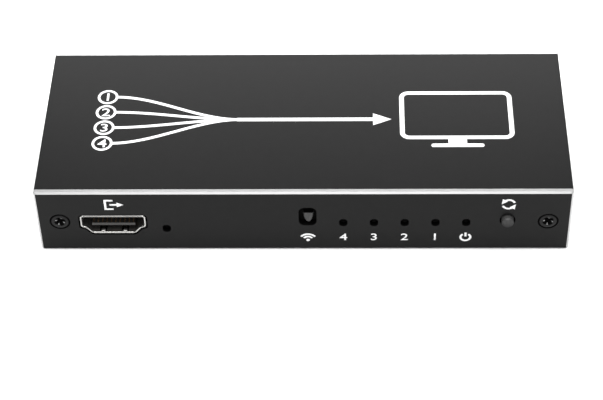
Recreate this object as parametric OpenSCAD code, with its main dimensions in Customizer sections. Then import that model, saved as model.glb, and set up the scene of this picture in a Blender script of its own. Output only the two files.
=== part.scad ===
// Four-input video switch box: an extruded sleeve closed by two flat end panels.
// The front panel faces -Y, the inputs face +Y and the base lies on Z = 0, centred on the origin.

/* [Case] */
// Width of the case, side to side
box_w = 120; // [114:0.5:160]
// Depth of the case over both end panels
box_d = 47.7; // [44:0.1:80]
// Height of the case
box_h = 18.2; // [17:0.1:30]
// Wall of the extruded sleeve
wall = 1.2; // [0.9:0.1:1.6]
// Radius of the long outer edges of the sleeve
edge_r = 0.3; // [0.2:0.1:2]
// Thickness of each end panel
panel_t = 1.2; // [1.2:0.1:2]
// Bare chamfer round the outer face of each end panel
panel_chamfer = 0.4; // [0.2:0.05:0.5]

/* [Screws] */
// Thread diameter
thread_d = 2.5; // [2:0.1:3]
// Diameter of the countersunk head
head_d = 4.2; // [4:0.1:5]
// Straight rim of the head above its cone
head_rim = 0.1; // [0.05:0.05:0.2]
// Length of the screw over its head
screw_l = 7; // [5:0.5:12]
// Distance from the side of the case to the screw axis
screw_inset = 5.1; // [4.5:0.1:7]
// Wall round the screw channel in the sleeve
channel_wall = 0.9; // [0.7:0.1:1.2]
// Width of the cross recess
recess_w = 2.6; // [2:0.1:3]
// Width of one arm of the cross recess
recess_arm = 0.8; // [0.4:0.05:0.9]

/* [Circuit board] */
// Thickness of the circuit board
board_t = 1.6; // [1:0.1:2]
// Space under the circuit board
board_lift = 2.4; // [2:0.1:4]
// Depth of the slots that hold the board's side edges
slot_depth = 1.6; // [1:0.1:2.5]
// Lip of the sleeve above and below each slot
slot_lip = 1; // [0.6:0.1:1.5]
// Length of a soldered leg below the board
leg_past = 0.8; // [0.5:0.1:1.5]

/* [Video sockets] */
// Width of the mouth
mouth_w = 14; // [13:0.1:16]
// Height of the mouth
mouth_h = 4.75; // [4.2:0.05:5.5]
// Width of the mouth along its bottom
mouth_foot_w = 9.4; // [8:0.1:10]
// Height of the mouth's upright sides
mouth_side_h = 2.8; // [2.2:0.1:3.2]
// Sideways reach of the shoulder below the upright sides
shoulder_w = 1; // [0.6:0.1:1.4]
// Drop of that shoulder
shoulder_drop = 0.3; // [0.1:0.05:0.8]
// Corner rounding of the mouth
mouth_corner = 0.4; // [0.2:0.05:0.5]
// Sheet metal thickness of the shell
shell_t = 0.35; // [0.25:0.05:0.5]
// Width of the flared lip round the shell
lip_w = 0.15; // [0.1:0.05:0.4]
// Depth of the flared lip
lip_t = 0.6; // [0.4:0.1:1]
// Length of the shell
shell_l = 11.5; // [10:0.5:14]
// How far a shell stands proud of its panel
shell_proud = 0.2; // [0.1:0.05:0.5]
// Gap between the shell and the board under it
shell_lift = 0.35; // [0.2:0.05:1]
// Width of a soldered leg
leg_w = 1.2; // [0.8:0.1:1.6]
// Distance from the board's edge to the first leg
leg_setback = 1; // [0.6:0.1:1.5]
// Distance between the front and back legs
leg_pitch = 6; // [5:0.5:7]
// Width of the tongue
tongue_w = 9.8; // [9.6:0.1:11]
// Thickness of the tongue
tongue_t = 0.75; // [0.7:0.05:1.4]
// Height of the tongue's middle above the middle of the mouth
tongue_rise = -0.4; // [-0.5:0.05:0.4]
// Distance from the mouth to the tip of the tongue
tongue_recess = 0.5; // [0.4:0.1:2]
// Length of the insulator block at the back of the shell
insulator_l = 3.5; // [2.5:0.5:4.5]
// Length of the insulator's foot behind the shell
foot_l = 1.2; // [0.8:0.1:2]
// Distance between neighbouring contacts of a row
contact_pitch = 1; // [0.8:0.05:1]
// Width of a contact
contact_w = 0.3; // [0.2:0.05:0.35]
// Thickness of a contact
contact_t = 0.15; // [0.1:0.05:0.2]
// How far a contact stands proud of its tongue
contact_proud = 0.05; // [0.02:0.01:0.08]
// Distance from the tip of a tongue to its contacts
contact_setback = 0.15; // [0.1:0.05:0.6]
// Length of the soldered end of a contact
contact_foot = 0.8; // [0.5:0.1:1.2]

/* [Power socket] */
// Width of the shell
power_w = 8.94; // [8.5:0.02:10]
// Height of the shell
power_h = 3.26; // [3:0.02:4]
// Length of the shell
power_l = 7.3; // [6.5:0.1:9]
// How far the shell lies behind the face of its panel
power_inset = 0.3; // [0:0.05:0.4]
// Width of the tongue
power_tongue_w = 6.6; // [6:0.1:7]
// Thickness of the tongue
power_tongue_t = 0.7; // [0.6:0.05:0.9]
// Distance from the mouth to the tip of the tongue
power_recess = 0.75; // [0.5:0.05:1.5]
// Length of the insulator block at the back of the shell
power_insulator_l = 2.5; // [2:0.1:3.5]
// Distance between neighbouring contacts of a row
power_pitch = 1.2; // [1:0.05:1.3]

/* [Layout of the panels] */
// Gap from a screw head to the output socket
output_gap = 2.4; // [1:0.05:4]
// Gap from a screw head to the power socket
power_gap = 2.2; // [1:0.05:4]
// Gap from a screw head to the last input socket
last_input_gap = 1.55; // [1:0.05:4]
// Gap from the output socket to the status light's hole
status_gap = 3.65; // [3:0.05:8]
// Gap from the screw head to the push button's hole
button_screw_gap = 5.3; // [4:0.05:8]
// Gap from the push switch to the power light's holder
light_switch_gap = 3.7; // [2:0.1:8]
// Gap between neighbouring light holders
light_gap = 2.5; // [1:0.1:4]
// Gap from the last light holder to the infrared receiver
receiver_gap = 2.9; // [1:0.1:6]

/* [Push button] */
// Diameter of the button
button_d = 2.8; // [2.5:0.1:3.4]
// How far the button stands out of the panel
button_proud = 1.5; // [0.6:0.05:2]
// Rounding of the button's tip
button_round = 0.9; // [0.3:0.1:1]
// Travel of the button
button_travel = 0.25; // [0.15:0.05:0.35]
// Height of the button's axis above the board
button_axis = 4.25; // [4:0.05:6]
// Width and height of the switch
switch_w = 6; // [5.6:0.1:7]
// Depth of the switch body
switch_d = 3.5; // [3:0.1:5]
// Sheet metal thickness of the switch frame
frame_t = 0.3; // [0.2:0.05:0.4]
// Width of each side arm of the switch frame
frame_arm = 1.6; // [1:0.1:2.2]
// Width of the button's collar outside its stem
collar_w = 0.6; // [0.4:0.1:0.7]
// Thickness of the button's collar
collar_t = 0.7; // [0.5:0.1:1]
// Diameter of the nub that presses the dome
nub_d = 1.2; // [0.8:0.1:1.6]
// Length of that nub
nub_l = 0.3; // [0.2:0.05:0.5]
// Thickness of the snap dome
dome_t = 0.1; // [0.06:0.02:0.16]
// Space left under the pressed dome
dome_room = 0.15; // [0.1:0.05:0.3]
// Distance between the two terminals
terminal_pitch = 4.5; // [3.5:0.1:5]
// Width of a terminal
terminal_w = 0.6; // [0.4:0.1:0.8]

/* [Lights] */
// Diameter of a light
led_d = 3; // [2.5:0.1:3.5]
// Length of a light
led_l = 5.3; // [4.5:0.1:7]
// Width of the flange outside the light
led_flange_w = 0.4; // [0.2:0.05:0.5]
// Thickness of the flange
led_flange_t = 1; // [0.6:0.1:1.4]
// Diameter of each light's hole in the panel
light_hole_d = 1.8; // [1:0.1:2.5]
// Height of the lights' axis above the board
led_axis = 3.5; // [3:0.1:4.5]
// Wall of a light holder
holder_wall = 0.65; // [0.5:0.05:1]
// Distance between the two leads of a light
lead_pitch = 2.54; // [2:0.02:2.6]
// Thickness of a lead
lead_t = 0.45; // [0.3:0.05:0.6]
// Distance from a light's back to its bent leads
lead_bend = 1; // [0.8:0.1:2]
// Diameter of the status light's hole
status_hole_d = 1.7; // [1:0.1:2.2]
// Height of the status light's axis above the board
status_axis = 1.7; // [1.4:0.1:2.4]
// Width of the status light
status_w = 3.2; // [2.4:0.1:4]
// Depth of the status light
status_d = 1.6; // [1.2:0.1:2.4]
// Height of the status light
status_h = 2.6; // [2.4:0.1:3.4]
// Diameter of the status light's lens
status_lens_d = 1.2; // [0.8:0.1:1.6]

/* [Infrared receiver] */
// Width of the window in the panel
window_w = 3.9; // [3:0.1:5]
// Height of the window
window_h = 5.5; // [4:0.1:6.5]
// Corner rounding of the window
window_r = 1.1; // [0.5:0.1:1.5]
// Height of the receiver's axis above the board
receiver_axis = 5.45; // [5:0.05:7]
// Width of the receiver
receiver_w = 5.8; // [5:0.1:7]
// Height of the receiver
receiver_h = 7; // [6:0.1:8]
// Depth of the receiver without its lens
receiver_d = 3; // [2.5:0.1:4]
// How far the half-round lens stands out of the receiver
lens_rise = 1.15; // [0.5:0.05:1.2]
// Gap from the lens to each side of the window
lens_side_gap = 0.7; // [0.3:0.05:1]
// Gap from the lens's flat top to the top of the window
lens_top_gap = 1.6; // [0.8:0.05:2]
// Gap from the lens's round end to the bottom of the window
lens_foot_gap = 0.4; // [0.2:0.05:0.8]
// Distance between neighbouring leads
receiver_pitch = 2.2; // [1.8:0.1:2.4]

/* [Board parts] */
// Gap from the screw channel to the electrolytic capacitors
can_gap = 5.2; // [2:0.1:8]
// Gap between neighbouring large parts on the board
part_gap = 2; // [1:0.1:3]
// Side of the video switching chip
chip_w = 10; // [8:0.5:12]
// Height of the video switching chip
chip_h = 0.9; // [0.7:0.1:1.4]
// Length of the microcontroller
micro_l = 6.5; // [6:0.1:8]
// Width of the microcontroller
micro_w = 4.4; // [4:0.1:5]
// Height of the microcontroller
micro_h = 1.1; // [0.9:0.1:1.6]
// Leads along each long side of the microcontroller
micro_leads = 10; // [6:1:10]
// Distance between neighbouring leads of the microcontroller
micro_pitch = 0.6; // [0.5:0.05:0.65]
// Width of the voltage regulator
regulator_l = 6.5; // [6:0.1:8]
// Depth of the voltage regulator
regulator_w = 3.5; // [3:0.1:4.5]
// Height of the voltage regulator
regulator_h = 1.6; // [1.4:0.1:2]
// Side of the power inductor
inductor_w = 5; // [4:0.1:6]
// Height of the power inductor
inductor_h = 2.8; // [2:0.1:4]
// Length of the crystal can
crystal_l = 11; // [9:0.1:12]
// Width of the crystal can
crystal_w = 4.6; // [3.5:0.1:5]
// Height of the crystal can
crystal_h = 3.5; // [2.5:0.1:4.5]
// Diameter of an electrolytic capacitor
can_d = 5; // [4:0.1:5.5]
// Height of an electrolytic capacitor's can
can_h = 5; // [4:0.1:5.8]
// Height of an electrolytic capacitor's base
can_base_h = 0.8; // [0.5:0.1:1.2]
// Length of a small chip part
passive_l = 1.6; // [1.2:0.1:2]
// Width of a small chip part
passive_w = 0.8; // [0.6:0.1:1]
// Height of a ceramic capacitor
ceramic_h = 0.8; // [0.5:0.1:1.1]
// Height of a resistor
resistor_h = 0.45; // [0.3:0.05:0.6]
// Length of a surge protection array
surge_l = 2.5; // [2:0.1:3]
// Width of a surge protection array
surge_w = 1; // [0.8:0.1:1.4]
// Height of a surge protection array
surge_h = 0.5; // [0.4:0.1:0.8]

/* [Fits] */
// Gap between a screw thread and its channel
thread_fit = 0.05; // [0.03:0.01:0.08]
// Gap round a screw head in its countersink
head_fit = 0.25; // [0.05:0.05:0.3]
// Gap above and below the board in its slots
slot_fit = 0.1; // [0.05:0.05:0.2]
// Gap from the board to the slot bottoms and to the panels
board_gap = 0.3; // [0.1:0.1:0.6]
// Gap round a socket in its panel cutout
cutout_fit = 0.2; // [0.1:0.05:0.3]
// Gap round the button in its panel hole
button_fit = 0.3; // [0.15:0.01:0.4]
// Gap round the button in the switch
guide_fit = 0.1; // [0.05:0.01:0.15]
// Gap round a soldered leg in its board hole
leg_fit = 0.15; // [0.1:0.05:0.25]
// Gap round an insulator in its shell and a light in its holder
insert_fit = 0.05; // [0.02:0.01:0.1]
// Gap from the panel to the switch
switch_gap = 0.5; // [0.3:0.1:1]
// Gap from the panel to the lights and the receiver
light_fit = 0.1; // [0.1:0.05:0.4]

/* [Hidden] */
$fn = 48;

// Colours of the pieces
case_black = [0.13, 0.13, 0.14];
screw_black = [0.2, 0.2, 0.21];
plated = [0.78, 0.78, 0.76];
plastic_black = [0.09, 0.09, 0.1];
contact_gold = [0.85, 0.66, 0.3];
board_green = [0.07, 0.27, 0.16];
tinned = [0.7, 0.71, 0.72];
button_grey = [0.22, 0.22, 0.23];
lens_dark = [0.12, 0.1, 0.13];
led_white = [0.86, 0.9, 0.92];
ceramic_tan = [0.62, 0.5, 0.36];
ferrite_grey = [0.3, 0.3, 0.31];

// Points on each rounded corner of a computed outline
corner_steps = 5;
// Largest share of an edge that one rounded corner may take
corner_share = 0.45;
// Points along the curve of a small dome
dome_steps = 6;
// Facets on the rounded corners of the panel outline
panel_fn = 32;
// How far a cut runs past the surface that it opens
over = 1;

// Screws: the cone under a head is 90 degrees wide
screw_x = box_w / 2 - screw_inset;
screw_z = box_h / 2;
screw_places = [-screw_x, screw_x];
head_h = head_rim + (head_d - thread_d) / 2;
bore_d = thread_d + 2 * thread_fit;
channel_d = bore_d + 2 * channel_wall;
screw_tip = 0.4;
front_screw_turns = [22, 34];
rear_screw_turns = [50, 12];

// Sleeve and circuit board
inner_w = box_w - 2 * wall;
sleeve_l = box_d - 2 * panel_t;
board_bottom = wall + board_lift;
board_top = board_bottom + board_t;
board_w = inner_w - 2 * board_gap;
board_edge = panel_t + board_gap;
board_l = box_d - 2 * board_edge;
leg_drop = board_t + leg_past;

// Outline of a video socket's mouth, anticlockwise round the middle of the mouth
side_end = mouth_h / 2 - mouth_side_h;
half_mouth = [
  [mouth_w / 2, mouth_h / 2],
  [mouth_w / 2, side_end],
  [mouth_w / 2 - shoulder_w, side_end - shoulder_drop],
  [mouth_foot_w / 2, -mouth_h / 2]
];
mouth = concat([for (i = [3:-1:0]) half_mouth[i]], [for (p = half_mouth) [-p.x, p.y]]);

// Video sockets, measured from the middle of the mouth on the panel's outer face
lip_reach = shell_t + lip_w;
rim_w = mouth_w + 2 * lip_reach;
shell_axis = shell_lift + shell_t + mouth_h / 2;
socket_z = board_top + shell_axis;
shell_back = shell_l - shell_proud;
foot_back = shell_back + foot_l;
leg_front = board_edge + leg_setback;
leg_top = (mouth_h / 2 + side_end) / 2;
tongue_low = tongue_rise - tongue_t / 2;
tongue_high = tongue_rise + tongue_t / 2;
contact_tip = tongue_recess + contact_setback;
contact_low = tongue_low - contact_proud;
contact_high = tongue_high + contact_proud;
upper_contacts = 10;

// Power socket, measured the same way
power_axis = power_h / 2;
power_z = board_top + power_axis;
power_back = power_l + power_inset;
power_foot_back = power_back + foot_l;
power_wall = shell_t + insert_fit;
power_tip = power_recess + contact_setback;
power_contacts = 5;
power_contact_high = power_tongue_t / 2 + contact_proud;

// Push button and switch
button_hole_d = button_d + 2 * button_fit;
button_x = screw_x - head_d / 2 - button_screw_gap - button_hole_d / 2;
button_z = board_top + button_axis;
switch_front = panel_t + switch_gap;
body_front = switch_front + frame_t;
collar_d = button_d + 2 * collar_w;
dome_h = button_travel + dome_t + dome_room;
cavity_l = collar_t + nub_l + dome_h;
switch_outer_w = switch_w + 2 * frame_t;
terminal_y = body_front + switch_d / 2;

// Lights
holder_w = led_d + 2 * (insert_fit + holder_wall);
light_pitch = holder_w + light_gap;
led_front = panel_t + light_fit;
led_z = board_top + led_axis;
led_back = led_front + led_l;
lead_back = led_back + lead_bend;
power_led_x = button_x - switch_outer_w / 2 - light_switch_gap - holder_w / 2;
led_x = [for (i = [0:4]) power_led_x - i * light_pitch];

// Infrared receiver
receiver_x = led_x[4] - holder_w / 2 - receiver_gap - receiver_w / 2;
receiver_z = board_top + receiver_axis;
receiver_front = panel_t + light_fit;
lens_r = window_w / 2 - lens_side_gap;
lens_top = window_h / 2 - lens_top_gap;
lens_low = window_h / 2 - lens_foot_gap - lens_r;
lens_axis = receiver_front - lens_rise + lens_r;
receiver_lead_y = receiver_front + receiver_d / 2;

// Places of the sockets and of the status light along the panels
output_x = -screw_x + head_d / 2 + output_gap + rim_w / 2;
status_x = output_x + rim_w / 2 + status_gap + status_hole_d / 2;
status_z = board_top + status_axis;
power_x = screw_x - head_d / 2 - power_gap - power_w / 2;
inputs_end = -screw_x + head_d / 2 + last_input_gap;
input_pitch = (power_x - power_w / 2 - inputs_end) / 4;
input_x = [for (i = [3:-1:0]) inputs_end + rim_w / 2 + i * input_pitch];

// Places of the parts on the board, and their small details
parts_y = -4;
can_x = screw_x - channel_d / 2 - can_gap - can_d / 2;
inductor_x = can_x - can_d / 2 - part_gap - inductor_w / 2;
regulator_x = inductor_x - inductor_w / 2 - part_gap - regulator_l / 2;
micro_x = regulator_x - regulator_l / 2 - part_gap - micro_l / 2;
chip_dot_d = 0.8;
chip_dot_h = 0.1;
solder_h = 0.1;
gull_t = 0.15;
gull_run = 0.5;
gull_foot = 0.6;
micro_lead_w = 0.25;
regulator_lead_w = 0.75;
regulator_tab_w = 3;
regulator_pitch = 2.3;
part_corner = 0.8;
crystal_rim = 0.4;
crystal_rim_h = 0.5;
crimp = 0.25;
can_corner = 0.6;
row_pitch = 2.2;
row_count = 6;
row_gap = 1.4;
surge_spread = 2.6;
surge_gap = 1;
passive_gap = 1;
can_y = [for (side = [-1, 1]) parts_y + side * (can_d + part_gap) / 2];
can_places = [for (y = can_y) [can_x, y]];
inductor_at = [inductor_x, parts_y];
regulator_at = [regulator_x, parts_y];
micro_at = [micro_x, parts_y];
crystal_at = [micro_x, parts_y + micro_w / 2 + gull_run + gull_foot + part_gap + crystal_w / 2];
chip_at = [(input_x[1] + input_x[2]) / 2, parts_y];

// A corner of an outline, rounded by a curve that starts and ends a given reach from the corner
function rounded_corner(a, b, c, reach) =
  let (
    r = min(reach, corner_share * norm(a - b), corner_share * norm(c - b)),
    p = b + r * (a - b) / norm(a - b),
    q = b + r * (c - b) / norm(c - b)
  )
  [for (i = [0:corner_steps]) let (t = i / corner_steps) p * (1 - t) ^ 2 + b * 2 * t * (1 - t) + q * t ^ 2];

// An outline with all of its corners rounded
function rounded(points, reach) =
  let (n = len(points))
  [for (i = [0:n - 1])
    each rounded_corner(points[(i + n - 1) % n], points[i], points[(i + 1) % n], reach)];

// Outward direction of the edge from a to b on an anticlockwise outline
function outward(a, b) = [b.y - a.y, a.x - b.x] / norm(b - a);

// An outline with each edge moved outwards by the same distance
function grown(points, by) =
  let (n = len(points))
  [for (i = [0:n - 1])
    let (
      u = outward(points[(i + n - 1) % n], points[i]),
      v = outward(points[i], points[(i + 1) % n])
    )
    points[i] + by * (u + v) / (1 + u * v)];

// Half section of a dome of a given height and radius, as points from its top to its rim
function dome_curve(r, h, rim) =
  [for (i = [0:dome_steps]) let (t = i / dome_steps) [r * t, rim - h * (1 - t ^ 2)]];

// Flat outlines

module video_outline(by) {
  polygon(rounded(grown(mouth, by), mouth_corner + by));
}

module stadium(w, h) {
  square([w - h, h], center = true);
  for (side = [-1, 1])
    translate([side * (w - h) / 2, 0])
      circle(d = h);
}

module rounded_rectangle(w, h, r) {
  square([w - 2 * r, h], center = true);
  square([w, h - 2 * r], center = true);
  for (x = [-1, 1], y = [-1, 1])
    translate([x * (w / 2 - r), y * (h / 2 - r)])
      circle(r);
}

module sleeve_profile() {
  board_middle = (board_bottom + board_top) / 2;
  difference() {
    union() {
      difference() {
        translate([0, box_h / 2])
          rounded_rectangle(box_w, box_h, edge_r);
        translate([0, box_h / 2])
          square([inner_w, box_h - 2 * wall], center = true);
      }
      for (side = [-1, 1]) {
        translate([side * (inner_w - slot_depth + wall / 2) / 2, board_middle])
          square([slot_depth + wall / 2, board_t + 2 * (slot_fit + slot_lip)], center = true);
        translate([side * screw_x, screw_z])
          circle(d = channel_d);
        translate([side * (screw_x + (inner_w + wall) / 2) / 2, screw_z])
          square([(inner_w + wall) / 2 - screw_x, channel_d / 2], center = true);
      }
    }
    translate([0, board_middle])
      square([inner_w, board_t + 2 * slot_fit], center = true);
    for (side = [-1, 1])
      translate([side * screw_x, screw_z])
        circle(d = bore_d);
  }
}

// A contact's side view: along the tongue, down behind the insulator and out along the board
module contact_profile(tip, back, drop, low) {
  high = low + contact_t;
  polygon([
    [tip, high], [tip, low], [back, low], [back, -drop], [back + contact_foot, -drop],
    [back + contact_foot, contact_t - drop], [back + contact_t, contact_t - drop], [back + contact_t, high]
  ]);
}

// The side view of a lead that steps down from a body's side to the board
module gull_profile(start, high) {
  turn = start + gull_run;
  polygon([
    [start, high], [turn, high], [turn, gull_t], [turn + gull_foot, gull_t], [turn + gull_foot, 0],
    [turn - gull_t, 0], [turn - gull_t, high - gull_t], [start, high - gull_t]
  ]);
}

// Placing and extruding

module front(x, z) {
  translate([x, -box_d / 2, z])
    children();
}

module rear(x, z) {
  translate([x, box_d / 2, z])
    rotate([0, 0, 180])
      children();
}

module on_board(place) {
  translate([place.x, place.y, board_top])
    children();
}

// An outline in the XZ plane, extruded along Y
module slab(from, to) {
  translate([0, to, 0])
    rotate([90, 0, 0])
      linear_extrude(to - from)
        children();
}

// An outline in the YZ plane, extruded along X about the middle
module ribbon(w) {
  rotate([90, 0, 90])
    linear_extrude(w, center = true)
      children();
}

// A profile turned about the Y axis, its height running along +Y
module turned() {
  rotate([-90, 0, 0])
    rotate_extrude()
      children();
}

// A round rod along Y
module rod(from, to, d) {
  translate([0, from, 0])
    rotate([-90, 0, 0])
      cylinder(d = d, h = to - from);
}

// A box between two limits on each axis
module block(x, y, z) {
  translate([x[0], y[0], z[0]])
    cube([x[1] - x[0], y[1] - y[0], z[1] - z[0]]);
}

module in_row(count, pitch) {
  for (i = [0:count - 1])
    translate([(i - (count - 1) / 2) * pitch, 0, 0])
      children();
}

// Case

module housing_sleeve() {
  color(case_black)
    slab(-sleeve_l / 2, sleeve_l / 2)
      sleeve_profile();
}

module panel_blank() {
  hull() {
    slab(panel_chamfer, panel_t)
      rounded_rectangle(box_w, box_h, edge_r, $fn = panel_fn);
    slab(0, panel_t)
      rounded_rectangle(box_w - 2 * panel_chamfer, box_h - 2 * panel_chamfer, edge_r, $fn = panel_fn);
  }
}

module screw_hole() {
  rod(-over, panel_t + over, thread_d + 2 * head_fit);
  rod(-over, head_rim, head_d + 2 * head_fit);
  translate([0, head_rim, 0])
    rotate([-90, 0, 0])
      cylinder(d1 = head_d + 2 * head_fit, d2 = thread_d + 2 * head_fit, h = head_h - head_rim);
}

module front_panel() {
  color(case_black)
    difference() {
      front(0, box_h / 2)
        panel_blank();
      for (x = screw_places)
        front(x, screw_z)
          screw_hole();
      front(output_x, socket_z)
        slab(-over, panel_t + over)
          video_outline(lip_reach + cutout_fit);
      front(status_x, status_z)
        rod(-over, panel_t + over, status_hole_d);
      front(receiver_x, receiver_z)
        slab(-over, panel_t + over)
          rounded_rectangle(window_w, window_h, window_r);
      for (x = led_x)
        front(x, led_z)
          rod(-over, panel_t + over, light_hole_d);
      front(button_x, button_z)
        rod(-over, panel_t + over, button_hole_d);
    }
}

module rear_panel() {
  color(case_black)
    difference() {
      rear(0, box_h / 2)
        panel_blank();
      for (x = screw_places)
        rear(x, screw_z)
          screw_hole();
      for (x = input_x)
        rear(x, socket_z)
          slab(-over, panel_t + over)
            video_outline(lip_reach + cutout_fit);
      rear(power_x, power_z)
        slab(-over, panel_t + over)
          stadium(power_w + 2 * cutout_fit, power_h + 2 * cutout_fit);
    }
}

module screw(turn) {
  color(screw_black)
    difference() {
      turned()
        polygon([
          [0, 0], [head_d / 2, 0], [head_d / 2, head_rim], [thread_d / 2, head_h],
          [thread_d / 2, screw_l - screw_tip], [thread_d / 2 - screw_tip, screw_l], [0, screw_l]
        ]);
      intersection() {
        rotate([0, turn, 0])
          slab(-over, recess_w / 2) {
            square([recess_w, recess_arm], center = true);
            square([recess_arm, recess_w], center = true);
          }
        translate([0, -over, 0])
          rotate([-90, 0, 0])
            cylinder(d1 = recess_w + 2 * over, d2 = 0, h = recess_w / 2 + over);
      }
    }
}

module front_panel_screws() {
  for (i = [0, 1])
    front(screw_places[i], screw_z)
      screw(front_screw_turns[i]);
}

module rear_panel_screws() {
  for (i = [0, 1])
    rear(-screw_places[i], screw_z)
      screw(rear_screw_turns[i]);
}

// Circuit board

module circuit_board() {
  color(board_green)
    difference() {
      block([-board_w / 2, board_w / 2], [-board_l / 2, board_l / 2], [board_bottom, board_top]);
      front(output_x, socket_z)
        video_legs(leg_fit);
      for (x = input_x)
        rear(x, socket_z)
          video_legs(leg_fit);
      rear(power_x, power_z)
        power_legs(leg_fit);
      front(button_x, button_z) {
        frame_legs(leg_fit);
        terminals(leg_fit);
      }
      for (x = led_x)
        front(x, led_z)
          lead_holes();
      front(receiver_x, receiver_z)
        receiver_leads(leg_fit);
    }
}

// Video sockets

module video_legs(fit = 0) {
  foot = shell_axis + leg_drop + fit;
  for (side = [-1, 1], y = [leg_front, leg_front + leg_pitch])
    translate([side * (mouth_w + shell_t) / 2, y + leg_w / 2, (leg_top - foot) / 2])
      cube([shell_t + 2 * fit, leg_w + 2 * fit, leg_top + foot], center = true);
}

module video_shell() {
  color(plated) {
    difference() {
      union() {
        slab(-shell_proud, shell_back)
          video_outline(shell_t);
        slab(-shell_proud, lip_t - shell_proud)
          video_outline(lip_reach);
      }
      slab(-shell_proud - over, shell_back + over)
        video_outline(0);
    }
    video_legs();
  }
}

module video_insulator() {
  color(plastic_black)
    difference() {
      union() {
        slab(shell_back - insulator_l, shell_back)
          video_outline(-insert_fit);
        block([-tongue_w / 2, tongue_w / 2], [tongue_recess, shell_back], [tongue_low, tongue_high]);
        block([-tongue_w / 2, tongue_w / 2], [shell_back, foot_back], [-shell_axis, mouth_h / 2]);
      }
      contact_grooves(upper_contacts, contact_pitch, contact_tip, foot_back, contact_low, contact_high);
    }
}

module video_contacts() {
  color(contact_gold)
    contacts(upper_contacts, contact_pitch, contact_tip, foot_back, shell_axis, contact_low, contact_high);
}

// Two rows of contacts, one on each face of a tongue, the lower row with one contact fewer
module contacts(count, pitch, tip, back, drop, low, high) {
  in_row(count, pitch)
    ribbon(contact_w)
      contact_profile(tip, back, drop, high - contact_t);
  in_row(count - 1, pitch)
    ribbon(contact_w)
      contact_profile(tip, back, drop, low);
}

module contact_grooves(count, pitch, tip, back, low, high) {
  in_row(count, pitch)
    block([-contact_w / 2, contact_w / 2], [tip, back + over], [high - contact_t, high]);
  in_row(count - 1, pitch)
    block([-contact_w / 2, contact_w / 2], [tip, back + over], [low, low + contact_t]);
}

module output_socket_shell() {
  front(output_x, socket_z)
    video_shell();
}

module output_socket_insulator() {
  front(output_x, socket_z)
    video_insulator();
}

module output_socket_contacts() {
  front(output_x, socket_z)
    video_contacts();
}

module input_socket_shell(i) {
  rear(input_x[i - 1], socket_z)
    video_shell();
}

module input_socket_insulator(i) {
  rear(input_x[i - 1], socket_z)
    video_insulator();
}

module input_socket_contacts(i) {
  rear(input_x[i - 1], socket_z)
    video_contacts();
}

// Power socket

module power_legs(fit = 0) {
  foot = power_axis + leg_drop + fit;
  for (side = [-1, 1], y = [leg_front, power_back - leg_w])
    translate([side * (power_w - shell_t) / 2, y + leg_w / 2, -foot / 2])
      cube([shell_t + 2 * fit, leg_w + 2 * fit, foot], center = true);
}

module power_socket_shell() {
  color(plated)
    rear(power_x, power_z) {
      slab(power_inset, power_back)
        difference() {
          stadium(power_w, power_h);
          stadium(power_w - 2 * shell_t, power_h - 2 * shell_t);
        }
      power_legs();
    }
}

module power_socket_insulator() {
  half_w = power_tongue_w / 2;
  half_t = power_tongue_t / 2;
  color(plastic_black)
    rear(power_x, power_z)
      difference() {
        union() {
          slab(power_back - power_insulator_l, power_back)
            stadium(power_w - 2 * power_wall, power_h - 2 * power_wall);
          block([-half_w, half_w], [power_recess, power_back], [-half_t, half_t]);
          block([-half_w, half_w], [power_back, power_foot_back], [-power_axis, power_axis]);
        }
        contact_grooves(
          power_contacts, power_pitch, power_tip, power_foot_back,
          -power_contact_high, power_contact_high
        );
      }
}

module power_socket_contacts() {
  color(contact_gold)
    rear(power_x, power_z)
      contacts(
        power_contacts, power_pitch, power_tip, power_foot_back, power_axis,
        -power_contact_high, power_contact_high
      );
}

// Push switch

module switch_button() {
  r = button_d / 2;
  tip = rounded_corner([0, -button_proud], [r, -button_proud], [r, body_front], button_round);
  collar_back = body_front + collar_t;
  color(button_grey)
    front(button_x, button_z)
      turned()
        polygon(concat([[0, -button_proud]], tip, [
          [r, body_front], [collar_d / 2, body_front], [collar_d / 2, collar_back],
          [nub_d / 2, collar_back], [nub_d / 2, collar_back + nub_l], [0, collar_back + nub_l]
        ]));
}

module switch_body() {
  color(plastic_black)
    front(button_x, button_z)
      difference() {
        block(
          [-switch_w / 2, switch_w / 2],
          [body_front, body_front + switch_d],
          [-button_axis, switch_w / 2]
        );
        rod(body_front - over, body_front + cavity_l, collar_d + 2 * guide_fit);
      }
}

module frame_legs(fit = 0) {
  foot = button_axis + leg_drop + fit;
  for (side = [-1, 1])
    translate([side * (switch_w + frame_t) / 2, body_front + frame_arm / 2, -foot / 2])
      cube([frame_t + 2 * fit, frame_arm + 2 * fit, foot], center = true);
}

module switch_frame() {
  color(plated)
    front(button_x, button_z) {
      difference() {
        block(
          [-switch_outer_w / 2, switch_outer_w / 2],
          [switch_front, body_front],
          [-switch_w / 2, switch_w / 2]
        );
        rod(switch_front - over, body_front + over, button_d + 2 * guide_fit);
      }
      for (side = [-1, 1])
        translate([side * (switch_w + frame_t) / 2, body_front + frame_arm / 2, 0])
          cube([frame_t, frame_arm, switch_w], center = true);
      frame_legs();
    }
}

module switch_dome() {
  rim = body_front + cavity_l;
  outer = dome_curve(collar_d / 2, dome_h, rim);
  inner = dome_curve(collar_d / 2 - dome_t, dome_h - dome_t, rim);
  color(plated)
    front(button_x, button_z)
      turned()
        polygon(concat(outer, [for (i = [dome_steps:-1:0]) inner[i]]));
}

module terminals(fit = 0) {
  foot = leg_drop + fit;
  for (side = [-1, 1])
    translate([side * terminal_pitch / 2, terminal_y, -button_axis - foot / 2])
      cube([terminal_w + 2 * fit, frame_t + 2 * fit, foot], center = true);
}

module switch_terminals() {
  color(tinned)
    front(button_x, button_z)
      terminals();
}

// Lights

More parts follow.
